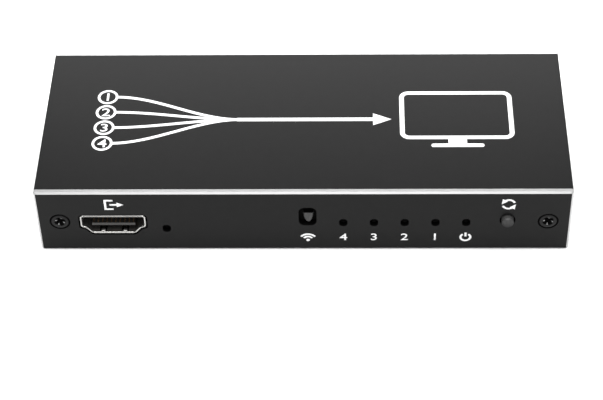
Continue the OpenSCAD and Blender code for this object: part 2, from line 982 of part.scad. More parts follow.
module led() {
  r = led_d / 2;
  flange = r + led_flange_w;
  color(led_white)
    translate([0, led_front, 0])
      turned()
        polygon(concat(dome_curve(r, r, r), [
          [r, led_l - led_flange_t], [flange, led_l - led_flange_t], [flange, led_l], [0, led_l]
        ]));
}

module indicator_led(i) {
  front(led_x[i], led_z)
    led();
}

module power_led() {
  front(led_x[0], led_z)
    led();
}

module light_holders() {
  color(plastic_black)
    for (x = led_x)
      front(x, led_z)
        difference() {
          block(
            [-holder_w / 2, holder_w / 2],
            [board_edge, led_back - led_flange_t],
            [-led_axis, holder_w / 2]
          );
          rod(board_edge - over, led_back + over, led_d + 2 * insert_fit);
        }
}

module light_leads() {
  half_t = lead_t / 2;
  foot = led_axis + leg_drop;
  color(tinned)
    for (x = led_x)
      front(x, led_z)
        in_row(2, lead_pitch)
          ribbon(lead_t)
            polygon([
              [led_back, half_t], [led_back, -half_t], [lead_back - lead_t, -half_t],
              [lead_back - lead_t, -foot], [lead_back, -foot], [lead_back, half_t]
            ]);
}

module lead_holes() {
  hole = lead_t + 2 * leg_fit;
  foot = led_axis + leg_drop + leg_fit;
  in_row(2, lead_pitch)
    translate([0, lead_back - lead_t / 2, -foot / 2])
      cube([hole, hole, foot], center = true);
}

module status_led() {
  color(led_white)
    front(status_x, status_z) {
      block(
        [-status_w / 2, status_w / 2],
        [board_edge, board_edge + status_d],
        [-status_axis, status_h - status_axis]
      );
      rod(panel_t + light_fit, board_edge + status_d / 2, status_lens_d);
    }
}

// Infrared receiver

module infrared_receiver() {
  half_w = receiver_w / 2;
  half_h = receiver_h / 2;
  color(lens_dark)
    front(receiver_x, receiver_z) {
      block([-half_w, half_w], [receiver_front, receiver_front + receiver_d], [-half_h, half_h]);
      translate([0, lens_axis, -lens_low]) {
        sphere(lens_r);
        cylinder(h = lens_low + lens_top, r = lens_r);
      }
    }
}

module receiver_leads(fit = 0) {
  foot = receiver_axis + leg_drop + fit;
  side = lead_t + 2 * fit;
  in_row(3, receiver_pitch)
    translate([0, receiver_lead_y, 0])
      block([-side / 2, side / 2], [-side / 2, side / 2], [-foot, -receiver_h / 2]);
}

module infrared_receiver_leads() {
  color(tinned)
    front(receiver_x, receiver_z)
      receiver_leads();
}

// Parts on the board

module video_switch_chip() {
  dot_at = chip_w / 2 - 2 * chip_dot_d;
  color(plastic_black)
    on_board(chip_at)
      difference() {
        block([-chip_w / 2, chip_w / 2], [-chip_w / 2, chip_w / 2], [0, chip_h]);
        translate([-dot_at, dot_at, chip_h - chip_dot_h])
          cylinder(d = chip_dot_d, h = over);
      }
}

module microcontroller() {
  color(plastic_black)
    on_board(micro_at)
      block([-micro_l / 2, micro_l / 2], [-micro_w / 2, micro_w / 2], [solder_h, micro_h]);
}

module microcontroller_leads() {
  color(tinned)
    on_board(micro_at)
      for (turn = [0, 180])
        rotate([0, 0, turn])
          in_row(micro_leads, micro_pitch)
            ribbon(micro_lead_w)
              gull_profile(micro_w / 2, micro_h / 2);
}

module voltage_regulator() {
  color(plastic_black)
    on_board(regulator_at)
      block(
        [-regulator_l / 2, regulator_l / 2],
        [-regulator_w / 2, regulator_w / 2],
        [solder_h, regulator_h]
      );
}

module voltage_regulator_leads() {
  color(tinned)
    on_board(regulator_at) {
      in_row(3, regulator_pitch)
        rotate([0, 0, 180])
          ribbon(regulator_lead_w)
            gull_profile(regulator_w / 2, regulator_h / 2);
      ribbon(regulator_tab_w)
        gull_profile(regulator_w / 2, regulator_h / 2);
    }
}

module power_inductor() {
  color(ferrite_grey)
    on_board(inductor_at)
      linear_extrude(inductor_h)
        rounded_rectangle(inductor_w, inductor_w, part_corner);
}

module crystal() {
  color(tinned)
    on_board(crystal_at) {
      linear_extrude(crystal_rim_h)
        stadium(crystal_l, crystal_w);
      linear_extrude(crystal_h)
        stadium(crystal_l - 2 * crystal_rim, crystal_w - 2 * crystal_rim);
    }
}

module capacitor_cans() {
  r = can_d / 2;
  color(tinned)
    for (place = can_places)
      on_board(place)
        translate([0, 0, can_base_h])
          rotate_extrude()
            polygon([
              [0, 0], [r, 0], [r, 2 * crimp], [r - crimp, 3 * crimp], [r - crimp, 4 * crimp],
              [r, 5 * crimp], [r, can_h - crimp], [r - crimp, can_h], [0, can_h]
            ]);
}

module capacitor_bases() {
  color(plastic_black)
    for (place = can_places)
      on_board(place)
        linear_extrude(can_base_h)
          rounded_rectangle(can_d, can_d, can_corner);
}

module chip_part(place, h) {
  on_board(place)
    block([-passive_w / 2, passive_w / 2], [-passive_l / 2, passive_l / 2], [0, h]);
}

module ceramic_capacitors() {
  color(ceramic_tan)
    for (i = [0:row_count - 1], side = [-1, 1])
      chip_part(
        chip_at + [(i - (row_count - 1) / 2) * row_pitch, side * (chip_w / 2 + row_gap)],
        ceramic_h
      );
}

// One resistor behind each light
module resistors() {
  light_row = -box_d / 2 + lead_back + passive_gap + passive_l / 2;
  status_row = -box_d / 2 + board_edge + status_d + passive_gap + passive_l / 2;
  color(plastic_black) {
    for (x = led_x)
      chip_part([x, light_row], resistor_h);
    chip_part([status_x, status_row], resistor_h);
  }
}

module surge_pair() {
  in_row(2, 2 * surge_spread)
    translate([0, foot_back + contact_foot + surge_gap, -shell_axis])
      block([-surge_l / 2, surge_l / 2], [0, surge_w], [0, surge_h]);
}

// Two protection arrays behind each video socket
module surge_arrays() {
  color(plastic_black) {
    front(output_x, socket_z)
      surge_pair();
    for (x = input_x)
      rear(x, socket_z)
        surge_pair();
  }
}

housing_sleeve();
front_panel();
rear_panel();
front_panel_screws();
rear_panel_screws();
circuit_board();
output_socket_shell();
output_socket_insulator();
output_socket_contacts();
input_socket_shell(1);  // input_1_socket_shell
input_socket_insulator(1);  // input_1_socket_insulator
input_socket_contacts(1);  // input_1_socket_contacts
input_socket_shell(2);  // input_2_socket_shell
input_socket_insulator(2);  // input_2_socket_insulator
input_socket_contacts(2);  // input_2_socket_contacts
input_socket_shell(3);  // input_3_socket_shell
input_socket_insulator(3);  // input_3_socket_insulator
input_socket_contacts(3);  // input_3_socket_contacts
input_socket_shell(4);  // input_4_socket_shell
input_socket_insulator(4);  // input_4_socket_insulator
input_socket_contacts(4);  // input_4_socket_contacts
power_socket_shell();
power_socket_insulator();
power_socket_contacts();
switch_button();
switch_body();
switch_frame();
switch_dome();
switch_terminals();
indicator_led(1);  // indicator_led_1
indicator_led(2);  // indicator_led_2
indicator_led(3);  // indicator_led_3
indicator_led(4);  // indicator_led_4
power_led();
light_holders();
light_leads();
status_led();
infrared_receiver();
infrared_receiver_leads();
video_switch_chip();
microcontroller();
microcontroller_leads();
voltage_regulator();
voltage_regulator_leads();
power_inductor();
crystal();
capacitor_cans();
capacitor_bases();
ceramic_capacitors();
resistors();
surge_arrays();
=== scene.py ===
import math

import bmesh
import bpy
import numpy as np
from mathutils import Matrix, Vector
from mathutils.geometry import delaunay_2d_cdt


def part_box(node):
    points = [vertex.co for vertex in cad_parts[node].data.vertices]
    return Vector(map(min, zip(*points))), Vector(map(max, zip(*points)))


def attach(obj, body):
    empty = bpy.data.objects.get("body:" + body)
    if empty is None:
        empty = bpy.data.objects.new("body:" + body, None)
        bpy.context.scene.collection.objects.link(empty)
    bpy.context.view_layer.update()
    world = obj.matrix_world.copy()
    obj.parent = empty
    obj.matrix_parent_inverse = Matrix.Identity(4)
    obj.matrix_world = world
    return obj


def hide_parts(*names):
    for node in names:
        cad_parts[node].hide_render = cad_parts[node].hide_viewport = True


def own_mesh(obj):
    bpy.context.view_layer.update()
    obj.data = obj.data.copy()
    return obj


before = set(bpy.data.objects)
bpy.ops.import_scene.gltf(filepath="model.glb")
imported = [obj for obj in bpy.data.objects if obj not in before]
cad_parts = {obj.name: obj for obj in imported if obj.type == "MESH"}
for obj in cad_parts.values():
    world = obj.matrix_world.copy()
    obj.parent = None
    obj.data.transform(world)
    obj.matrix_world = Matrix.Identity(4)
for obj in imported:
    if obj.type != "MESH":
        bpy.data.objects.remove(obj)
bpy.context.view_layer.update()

# Looks of a four-input video switch box: black anodised case, bare-edged end panels, sockets, button, prints.
# Lengths are in millimetres until a mesh is made, which is in metres. Pieces on an end panel are worked out
# in that panel's own directions: across, to the right of someone facing it; depth, into the box; and up.

MM = 0.001

# Case
EDGE_RADIUS = 0.3
PANEL_CHAMFER = 0.4
HOLE_BREAK = 0.08
WALL = 1.2
SLOT_DEPTH = 1.6
SLOT_LIP = 1
SLOT_FIT = 0.1
CHANNEL_D = 4.4
WEB_TURN = 30
BORE_D = 2.6
PRINT_T = 0.01

# Screws
HEAD_D = 4.2
HEAD_FIT = 0.25
HEAD_RIM = 0.1
HEAD_EDGE = 0.2
THREAD_D = 2.5
SCREW_TIP = 0.4
RECESS_W = 2.6
RECESS_ARM = 0.9
RECESS_BREAK = 0.06
CORNER_BREAK = 0.45
CORNER_SPREAD = 18
FRONT_SCREW_TURNS = (22, 34)
REAR_SCREW_TURNS = (50, 12)
RECESS_ROWS = 7
WORN_SHARE = 0.4

# Video sockets
MOUTH_W = 14
MOUTH_H = 4.75
MOUTH_FOOT_W = 9.4
MOUTH_SIDE_H = 2.8
SHOULDER_W = 1
SHOULDER_DROP = 0.3
MOUTH_CORNER = 0.4
SHELL_T = 0.35
LIP_REACH = 0.5
LIP_ROLL = 0.42
LIP_DEPTH = 0.4
LIP_TAPER = 0.2
LIP_POINTS = 13
CUTOUT_FIT = 0.2
CUTOUT_DROP = 0.22
LEG_W = 1.2
LEG_FIRST = 2.5
LEG_PITCH = 6
LEG_CORNER = SHELL_T / 4
LEG_TAPER = SHELL_T / 5
SPRING_X = 2.48
SPRING_W = 0.8
SPRING_GAP = 0.4
SPRING_T = 0.2
SPRING_TIP = 0.2
SPRING_RISE = 0.4
SPRING_FRONT = 0.2
SPRING_LIT = 0.2
SPRING_BACK = 6.2
SPRING_LEAN = 0.7
POCKET = 0.32
TONGUE_TIP = 0.02

# Power socket
POWER_W = 8.94
POWER_H = 3.26
POWER_EDGE_POINTS = 9

# Push button
BUTTON_D = 2.8
BUTTON_HOLE_D = 3.4
BUTTON_DOME = 0.8
COLLAR_D = 4
COLLAR_T = 0.7
NUB_D = 1.2
NUB_L = 0.3
BUTTON_TRAVEL = 0.25
DOME_T = 0.1
DOME_FIT = 0.02
# Share of the button's colour that is painted shade, darker towards its foot
BUTTON_PAINTED_SHADE = 0.9
BUTTON_SPECKLE = 0.1
BUTTON_GLOSS = 0.8

# Small holes and the infrared window
LIGHT_HOLE_W = 1.75
LIGHT_HOLE_H = 2.15
STATUS_AXIS = 1.7
WINDOW_W = 3.9
WINDOW_H = 5.5
WINDOW_R = 1.4
LIGHT_FIT = 0.1
RECEIVER_EDGE = 0.3
LENS_R = 1.25
LENS_SHIFT = 0.17
LENS_RISE = 1.15
LENS_TOP = 0.97
LENS_L = 3.3
LENS_EDGE = 0.12
LENS_NARROWING = (1.7, 0.6)
LENS_FLATTENING = (4, 0.25)

# Prints on the end panels
NUMBER_H = 2.15
NUMBER_WEIGHT = 0.01
NUMBER_WIDTH = 1.2
LINE_W = 0.5
FILM_SHARE = 0.8
LABEL_DROP = 4.65
SIGN_UP = 14.5
ARROW_CORNERS = (0, 130, 230)
BRACKET_BACK = 1.3
BRACKET_ARM = 0.5
BRACKET_HALF = 1.35
ARROW_OUT = (-0.3, 1.9)
ARROW_IN = (-2.7, -0.5)
SIGN_ARROW = 0.95
POWER_SIGN_R = 1.1
POWER_SIGN_DROP = 0.1
POWER_SIGN_ARC = (125, 415)
POWER_SIGN_BAR = (0.1, 1.35)
WAVE_DROP = 1
WAVE_DOT_D = 0.84
WAVE_RADII = (1.1, 1.9)
WAVE_ARC = (35, 145)
CYCLE_R = 1.35
CYCLE_STARTS = (20, 200)
CYCLE_SWEEP = 118
CYCLE_TIP = 125
CYCLE_TURN = 218
CYCLE_ARROW = 0.9
INPUT_SIGN_LEFT = 1.6
INPUT_NUMBER_RIGHT = 2.3
CURRENT_HALF = 1.8
CURRENT_RISE = 0.45
DASH_PLACES = (-1.4, 0, 1.4)
DASH_HALF = 0.4

# Drawing on the top; the screen and the two pieces of its stand have a middle, a size and a corner radius
RING_X = -46
RING_ROWS = (7.8, 2.6, -2.6, -7.8)
RING_D = 4.2
RING_LINE = 0.6
RING_NUMBER_H = 2.6
LEAD_X = -43.9
LEAD_L = 29
LEAD_LINE = 0.8
LEAD_POINTS = 40
TRUNK_ENDS = (-15.5, 17)
TRUNK_LINE = 1.1
TRUNK_TIP = 17.5
TRUNK_ARROW = 2.6
SCREEN = (35, 1.4, 25, 15, 1.6)
STAND_NECK = (35, -7.4, 4.2, 2.2, 0.1)
STAND_FOOT = (35, -8.7, 12, 1.1, 0.5)

# Camera, fitted to the case's corners in the photograph
PHOTO_W = 603
FOCAL_PX = 1899
SENSOR_W = 36
CAMERA_AZIMUTH = math.radians(2.17)
CAMERA_ELEVATION = math.radians(45.42)
CAMERA_ROLL = math.radians(-1.631)
CAMERA_OFFSET = (-0.99, -5.787, 450.22)

# Floor, surround and lights; each light has a place, an aim, a size and a power in watts
FLOOR_REACH = 3000
SURROUND_STRENGTH = 0.2
STUDIO_LIGHTS = {
    "overhead_soft": ((0, 0, 900), (0, 0, 0), (1100, 700), 17.5),
    "back_soft": ((0, 170, 120), (0, 0, 18), (260, 70), 0.37),
    "front_soft": ((0, -620, 640), (0, 0, 10), (640, 420), 2.6),
}

# Tints of plated metal and of warm greys, the middle of the noise, and how much stronger speckles make it
NICKEL = (1, 0.985, 0.955)
WARM = (1, 0.95, 0.9)
NOISE_MIDDLE = 0.5
SPECKLE_CONTRAST = 2

# Points round a circle, along a rounded corner and along a curve
ROUND = 64
CORNER = 10
CURVE = 24

# Share of an edge that a curved corner may take, the angle up to which faces are shaded smooth, the distance
# within which points are merged, the difference below which lengths are equal, and what keeps divisors off 0
CORNER_SHARE = 0.45
CREASE = math.radians(34)
MERGE = 0.0004 * MM
SAME = 1e-6
TINY = 1e-9


# Outlines, each a function of how far it is grown outwards


def round_outline(across, up, d):
    """A circle: its middle plus the radius times cosine and sine, all the way round."""
    angle = np.linspace(0, 2 * math.pi, ROUND, endpoint=False)
    ring = np.column_stack([np.cos(angle), np.sin(angle)])
    return lambda grow: [across, up] + ring * (d / 2 + grow)


def box_outline(across, up, w, h, r):
    """A rounded rectangle: each corner's centre plus a quarter circle of radius r."""
    turn = np.arange(4)[:, None] * math.pi / 2 + np.linspace(0, math.pi / 2, CORNER + 1)
    arc = np.stack([np.cos(turn), np.sin(turn)], -1) * r
    sides = np.array([[1, 1], [-1, 1], [-1, -1], [1, -1]])

    def outline(grow):
        centres = sides * [w / 2 - r + grow, h / 2 - r + grow]
        return [across, up] + (centres[:, None] + arc).reshape(-1, 2)

    return outline


def pill_outline(across, up, w, h):
    """A rectangle with half-round ends: two half circles whose centres are w - h apart."""
    turn = np.linspace(-math.pi / 2, math.pi / 2, ROUND // 2)
    half = np.column_stack([np.cos(turn), np.sin(turn)])

    def outline(grow):
        right = half * (h / 2 + grow) + [(w - h) / 2, 0]
        return [across, up] + np.concatenate([right, -right])

    return outline


def grown(corners, by):
    """Corners moved along the sum of their edges' normals, so that every edge shifts outwards alike."""
    edge = np.roll(corners, -1, 0) - corners
    edge = edge / np.linalg.norm(edge, axis=1)[:, None]
    after = np.column_stack([edge[:, 1], -edge[:, 0]])
    before = np.roll(after, 1, 0)
    return corners + by * (after + before) / (1 + (after * before).sum(1))[:, None]


def curved_corners(corners, reach):
    """One row of points per corner: a quadratic curve from `reach` before the corner to `reach` after it."""
    back = np.roll(corners, 1, 0) - corners
    onward = np.roll(corners, -1, 0) - corners
    back_l = np.linalg.norm(back, axis=1)[:, None]
    onward_l = np.linalg.norm(onward, axis=1)[:, None]
    r = np.minimum(reach, CORNER_SHARE * np.minimum(back_l, onward_l))
    start = (corners + back / back_l * r)[:, None]
    end = (corners + onward / onward_l * r)[:, None]
    t = np.linspace(0, 1, CORNER + 1)[None, :, None]
    return start * (1 - t) ** 2 + corners[:, None] * 2 * t * (1 - t) + end * t ** 2


def mouth_outline(across, up, stops=()):
    """A video socket's mouth: upright sides, shoulders and a narrower foot, with every corner curved.

    Stops are places across at which the top and the foot have extra points.
    """
    side_end = MOUTH_H / 2 - MOUTH_SIDE_H
    right = np.array([
        [MOUTH_FOOT_W / 2, -MOUTH_H / 2],
        [MOUTH_W / 2 - SHOULDER_W, side_end - SHOULDER_DROP],
        [MOUTH_W / 2, side_end],
        [MOUTH_W / 2, MOUTH_H / 2],
    ])
    corners = np.concatenate([right, right[::-1] * [-1, 1]])
    stops = np.asarray(stops, float)

    def outline(grow):
        curve = curved_corners(grown(corners, grow), MOUTH_CORNER + grow)
        level = np.full(len(stops), MOUTH_H / 2 + grow)
        top = np.column_stack([stops[::-1], level])
        foot = np.column_stack([stops, -level])
        return [across, up] + np.concatenate([curve[:4].reshape(-1, 2), top, curve[4:].reshape(-1, 2), foot])

    return outline


def larger(outline, by):
    """The same outline with its grown distances counted from `by`."""
    return lambda grow: outline(grow + by)


# Surfaces


def lofted(outline, profile):
    """An outline carried through a profile.

    Row k of the points is the outline grown by profile[k][0], at the depth profile[k][1].
    """
    rings = [(outline(grow), depth) for grow, depth in profile]
    return np.stack([np.column_stack([p[:, 0], np.full(len(p), depth), p[:, 1]]) for p, depth in rings])


def turned(profile, across=0.0, up=0.0):
    """A profile of radius and depth turned about the depth axis: the radius times cosine and sine."""
    angle = np.linspace(0, 2 * math.pi, ROUND, endpoint=False)
    radius, depth = np.asarray(profile, float).T[:, :, None]
    x, y, z = np.broadcast_arrays(across + radius * np.cos(angle), depth, up + radius * np.sin(angle))
    return np.stack([x, y, z], -1)


def strap(path, w, t):
    """A flat strip: points of depth and up, moved half a thickness along the path's normals, over a width."""
    path = np.asarray(path, float)
    along = np.gradient(path, axis=0)
    normal = np.column_stack([-along[:, 1], along[:, 0]]) / np.linalg.norm(along, axis=1)[:, None] * t / 2
    above, below = path + normal, path - normal
    corners = [(-w / 2, above), (w / 2, above), (w / 2, below), (-w / 2, below)]
    return np.stack([np.column_stack([np.full(len(p), x), p]) for x, p in corners], 1)


def within(loop, spots):
    """Whether each spot is inside a closed loop.

    It is where a level line to its right crosses the loop an odd number of times.
    """
    start, end = loop[None], np.roll(loop, -1, 0)[None]
    x, y = spots[:, :1], spots[:, 1:]
    spans = (start[..., 1] > y) != (end[..., 1] > y)
    rise = np.where(spans, end[..., 1] - start[..., 1], 1)
    crossing = start[..., 0] + (y - start[..., 1]) / rise * (end[..., 0] - start[..., 0])
    return (spans & (crossing > x)).sum(1) % 2 == 1


def triangles(loops):
    """Points and triangles that fill closed flat loops and what lies between, split where loops cross."""
    starts = np.cumsum([0] + [len(loop) for loop in loops])
    rings = [np.arange(a, b) for a, b in zip(starts[:-1], starts[1:])]
    edges = np.concatenate([np.column_stack([ring, np.roll(ring, -1)]) for ring in rings])
    corners = [Vector(point) for point in np.concatenate(loops)]
    points, _, faces, *_ = delaunay_2d_cdt(corners, edges.tolist(), [], 0, SAME)
    return np.array([tuple(point) for point in points]), np.array(faces)


class Form:
    """Surfaces gathered into one piece: points in millimetres, faces between them and each face's finish."""

    def __init__(self):
        self.points, self.faces, self.finishes, self.count = [], [], [], 0

    def add(self, points, faces, finish=0):
        """Adds points and the faces between them; finish is one number for all the faces or one for each."""
        flat = np.reshape(points, (-1, 3))
        self.points.append(flat)
        self.faces += [[corner + self.count for corner in face] for face in faces]
        self.finishes += np.broadcast_to(finish, len(faces)).tolist()
        self.count += len(flat)

    def grid(self, rows, finish=0, keep=None, ends=False):
        """Quads between neighbouring rows of points, each row a ring.

        Quads that keep says no to are left out, and ends closes the first and the last row.
        """
        n, m = rows.shape[:2]
        i, j = np.arange(n - 1)[:, None], np.arange(m)[None, :]
        k = (j + 1) % m
        quads = np.stack(np.broadcast_arrays(i * m + j, i * m + k, i * m + m + k, i * m + m + j), -1)
        kept = np.ones(quads.shape[:2], bool) if keep is None else keep
        self.add(rows, quads[kept].tolist(), np.broadcast_to(finish, kept.shape)[kept])
        if ends:
            self.add(rows[0], [list(range(m))[::-1]])
            self.add(rows[-1], [list(range(m))])

    def sheet(self, loops):
        """The flat area inside the first loop and outside the others."""
        flat = [loop[:, [0, 2]] for loop in loops]
        points, faces = triangles(flat)
        centres = points[faces].mean(1)
        kept = within(flat[0], centres) & ~np.any([within(loop, centres) for loop in flat[1:]], axis=0)
        level = np.full(len(points), loops[0][0, 1])
        self.add(np.column_stack([points[:, 0], level, points[:, 1]]), faces[kept].tolist())


class Panel:
    """One end panel and its own directions; place() turns points given in them into the box's frame."""

    def __init__(self, node, inward):
        low, high = (np.array(corner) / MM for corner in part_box(node))
        self.node = node
        self.inward = inward
        self.face = low[1] if inward > 0 else high[1]
        self.w, self.t, self.h = high - low

    def place(self, points):
        """The box's coordinates of points given as across, depth and up.

        Across and depth change sign on the rear panel, and depth counts from the panel's outer face.
        """
        return np.asarray(points) * [self.inward, self.inward, 1] + [0, self.face, 0]

    def middle(self, node):
        """Across and up of the middle of a node."""
        low, high = (np.array(corner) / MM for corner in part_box(node))
        return self.inward * (low[0] + high[0]) / 2, (low[2] + high[2]) / 2

    def depths(self, node):
        """Nearest and farthest depth of a node behind the outer face."""
        ends = [self.inward * (corner.y / MM - self.face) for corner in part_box(node)]
        return min(ends), max(ends)


def make_piece(name, form, finishes, place, replaces=(), body="case", outward=True):
    """Puts a form into a mesh: shared points merged, faces turned outwards, smooth up to the crease angle."""
    points = place(np.concatenate(form.points))
    mesh = bpy.data.meshes.new(name)
    mesh.from_pydata((points * MM).tolist(), [], form.faces)
    mesh.polygons.foreach_set("material_index", np.array(form.finishes, np.int32))
    for finish in finishes:
        mesh.materials.append(finish)
    work = bmesh.new()
    work.from_mesh(mesh)
    bmesh.ops.remove_doubles(work, verts=work.verts, dist=MERGE)
    if outward:
        bmesh.ops.recalc_face_normals(work, faces=work.faces)
    work.to_mesh(mesh)
    work.free()
    mesh.shade_smooth()
    mesh.set_sharp_from_angle(angle=CREASE)
    made = bpy.data.objects.new(name, mesh)
    bpy.context.scene.collection.objects.link(made)
    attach(made, body)
    if replaces:
        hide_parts(*replaces)
    return made


# Shading


class Shade:
    """One output of a material's nodes. Arithmetic on it adds Math nodes, and node() adds any other node."""

    def __init__(self, tree, socket=None):
        self.tree, self.socket = tree, socket

    def node(self, kind, settings, inputs, output=0):
        """Adds a node, with its settings first and then its inputs' values or links; gives one output."""
        made = self.tree.nodes.new(kind)
        for name, value in settings.items():
            setattr(made, name, value)
        for name, value in inputs.items():
            if isinstance(value, Shade):
                self.tree.links.new(value.socket, made.inputs[name])
            else:
                made.inputs[name].default_value = value
        return Shade(self.tree, made.outputs[output] if made.outputs else None)

    def math(self, operation, first, second):
        """A Math node's operation on two values."""
        return self.node("ShaderNodeMath", {"operation": operation}, {0: first, 1: second})

    def __add__(self, other):
        return self.math("ADD", self, other)

    def __sub__(self, other):
        return self.math("SUBTRACT", self, other)

    def __rsub__(self, other):
        return self.math("SUBTRACT", other, self)

    def __mul__(self, other):
        return self.math("MULTIPLY", self, other)

    __radd__ = __add__
    __rmul__ = __mul__

    def clamped(self):
        """This value, kept between 0 and 1."""
        return self.node("ShaderNodeClamp", {}, {"Value": self})

    def blended(self, first, second):
        """One colour where this is 0, the other where it is 1."""
        ends = {6: (*first, 1), 7: (*second, 1)}
        return self.node("ShaderNodeMix", {"data_type": "RGBA"}, {0: self, **ends}, 2)

    def coordinates(self):
        """The surface's object coordinates, in metres."""
        return self.node("ShaderNodeTexCoord", {}, {}, "Object")

    def along(self, axis):
        """One of the object coordinates, in metres."""
        return self.node("ShaderNodeSeparateXYZ", {}, {"Vector": self.coordinates()}, axis)

    def speckle(self, per_mm, detail=2.0, stretch=(1, 1, 1)):
        """Noise in object coordinates, about NOISE_MIDDLE, with about per_mm features to the millimetre."""
        scale = tuple(s * per_mm / MM for s in stretch)
        vector = self.node("ShaderNodeMapping", {}, {"Vector": self.coordinates(), "Scale": scale})
        return self.node("ShaderNodeTexNoise", {}, {"Vector": vector, "Scale": 1.0, "Detail": detail})

    def past_depth(self, reach):
        """1 farther than reach, in millimetres, from the middle of the case towards either end, else 0."""
        return self.math("GREATER_THAN", self.math("ABSOLUTE", self.along("Y"), 0.0), reach * MM)

    def rising(self, low, high):
        """0 below one level, 1 above another, both in millimetres, and in between the share of the way up."""
        return ((self.along("Z") - low * MM) * (1 / (high - low) / MM)).clamped()

    def bumped(self, strength, depth):
        """The surface's normal, bent as if this value were a height of up to a depth in millimetres."""
        return self.node("ShaderNodeBump", {}, {"Strength": strength, "Distance": depth * MM, "Height": self})


def speckled(dark, light, per_mm, detail=2.0, stretch=(1, 1, 1)):
    """A colour between two tones, by the noise made stronger about its middle."""

    def colour(s):
        noise = s.speckle(per_mm, detail, stretch) - NOISE_MIDDLE
        return (noise * SPECKLE_CONTRAST + NOISE_MIDDLE).clamped().blended(dark, light)

    return colour


def drifting(middle, spread, per_mm, detail=3.0, stretch=(1, 1, 1)):
    """A roughness: a middle value plus the noise, less its own middle, times a spread."""
    return lambda s: (s.speckle(per_mm, detail, stretch) - NOISE_MIDDLE) * spread + middle


def grained(strength, depth, per_mm, detail=2.0, stretch=(1, 1, 1)):
    """A fine bump in the surface, with the noise as its height."""
    return lambda s: s.speckle(per_mm, detail, stretch).bumped(strength, depth)


def make_finish(name, colour, roughness, normal=None, metallic=0.0, specular=0.5):
    """A material whose colour, roughness and normal vary over the surface."""
    finish = bpy.data.materials.new(name)
    finish.use_nodes = True
    finish.node_tree.nodes.clear()
    shade = Shade(finish.node_tree)
    inputs = {"Metallic": metallic, "Specular IOR Level": specular}
    inputs.update({"Base Color": colour(shade), "Roughness": roughness(shade)})
    if normal:
        inputs["Normal"] = normal(shade)
    surface = shade.node("ShaderNodeBsdfPrincipled", {}, inputs)
    shade.node("ShaderNodeOutputMaterial", {}, {"Surface": surface})
    return finish


def grey(value, tint=(1, 1, 1)):
    """A grey of a given brightness, times a tint."""
    return tuple(value * t for t in tint)


def tongue_finish(name, node, end):
    """A black moulding whose tongue has a paler tip, which is at the given corner of the node's box; the
    darker rest is painted shade.
    """
    tip = abs(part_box(node)[end].y) / MM - TONGUE_TIP
    return make_finish(
        name,
        lambda s: s.past_depth(tip).blended(grey(0.024, WARM), grey(0.036, WARM)),
        drifting(0.42, spread=0.1, per_mm=3.0),
        grained(0.2, depth=0.01, per_mm=7.0),
        specular=0.33,
    )


def button_finish():
    """A grey moulding that is duller towards the button's foot, and darker there as painted shade."""
    low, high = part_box("switch_button")
    middle = (low.z + high.z) / 2 / MM
    ends = middle - BUTTON_D / 2, middle + BUTTON_D / 2

    def colour(s):
        share = s.rising(*ends) * BUTTON_PAINTED_SHADE + s.speckle(per_mm=1.5) * BUTTON_SPECKLE
        return share.blended(grey(0), grey(0.058))

    return make_finish(
        "button_moulding", colour, lambda s: 1 - s.rising(*ends) * BUTTON_GLOSS,
        grained(0.15, depth=0.008, per_mm=7.0), specular=0.2
    )


black_dye = speckled(grey(0.0015), grey(0.0025), per_mm=0.6, detail=4.0)
black_anodised = make_finish(
    "black_anodised", black_dye, drifting(0.38, spread=0.08, per_mm=1.7),
    grained(0.25, depth=0.02, per_mm=5.0), specular=0.114
)
black_plate = make_finish(
    "black_plate", black_dye, drifting(0.38, spread=0.08, per_mm=1.7),
    grained(0.2, depth=0.015, per_mm=5.0), specular=0.128
)
bare_aluminium = make_finish(
    "bare_aluminium",
    speckled(grey(0.37), grey(0.41), per_mm=1.4, detail=3.0, stretch=(0.2, 1, 1)),
    drifting(0.32, spread=0.06, per_mm=2.5, stretch=(0.15, 1, 1)),
    grained(0.1, depth=0.005, per_mm=6.0, stretch=(0.1, 1, 1)),
    metallic=0.9,
)
black_screw_steel = make_finish(
    "black_screw_steel", speckled(grey(0.003), grey(0.006), per_mm=2.0),
    drifting(0.4, spread=0.14, per_mm=3.0), grained(0.3, depth=0.01, per_mm=8.0), specular=0.15
)
worn_screw_steel = make_finish(
    "worn_screw_steel", speckled(grey(0.16), grey(0.32), per_mm=4.0),
    drifting(0.32, spread=0.12, per_mm=4.0), metallic=0.9
)
# Painted shadow: a near-black, barely glossy finish for holes, pockets, screw recesses and hidden parts where
# there is only shade
painted_shadow_black = make_finish(
    "painted_shadow_black", speckled(grey(0.0015), grey(0.0025), per_mm=1.0),
    drifting(0.7, spread=0.1, per_mm=2.0), specular=0.03
)
plated_steel = make_finish(
    "plated_steel", speckled(grey(0.4, NICKEL), grey(0.46, NICKEL), per_mm=0.9),
    drifting(0.26, spread=0.08, per_mm=2.2), grained(0.05, depth=0.01, per_mm=4.0), metallic=1.0
)
# A darker copy of the plated steel: painted shade on the top of each video socket's lip, and the painted lit
# front of each leaf spring; the power socket's shell is all of it
dimmed_steel = make_finish(
    "dimmed_steel", speckled(grey(0.21, NICKEL), grey(0.26, NICKEL), per_mm=0.9),
    drifting(0.3, spread=0.1, per_mm=2.2), grained(0.12, depth=0.01, per_mm=4.0), metallic=1.0
)
shaded_steel = make_finish(
    "shaded_steel", speckled(grey(0.1, WARM), grey(0.13, WARM), per_mm=0.9),
    drifting(0.4, spread=0.1, per_mm=2.2), metallic=0.8
)
# Painted shade: a very dark steel for the leaf springs behind their front stretch
shaded_spring_steel = make_finish(
    "shaded_spring_steel", speckled(grey(0.05, NICKEL), grey(0.07, NICKEL), per_mm=1.5),
    drifting(0.4, spread=0.1, per_mm=2.2), metallic=1.0
)
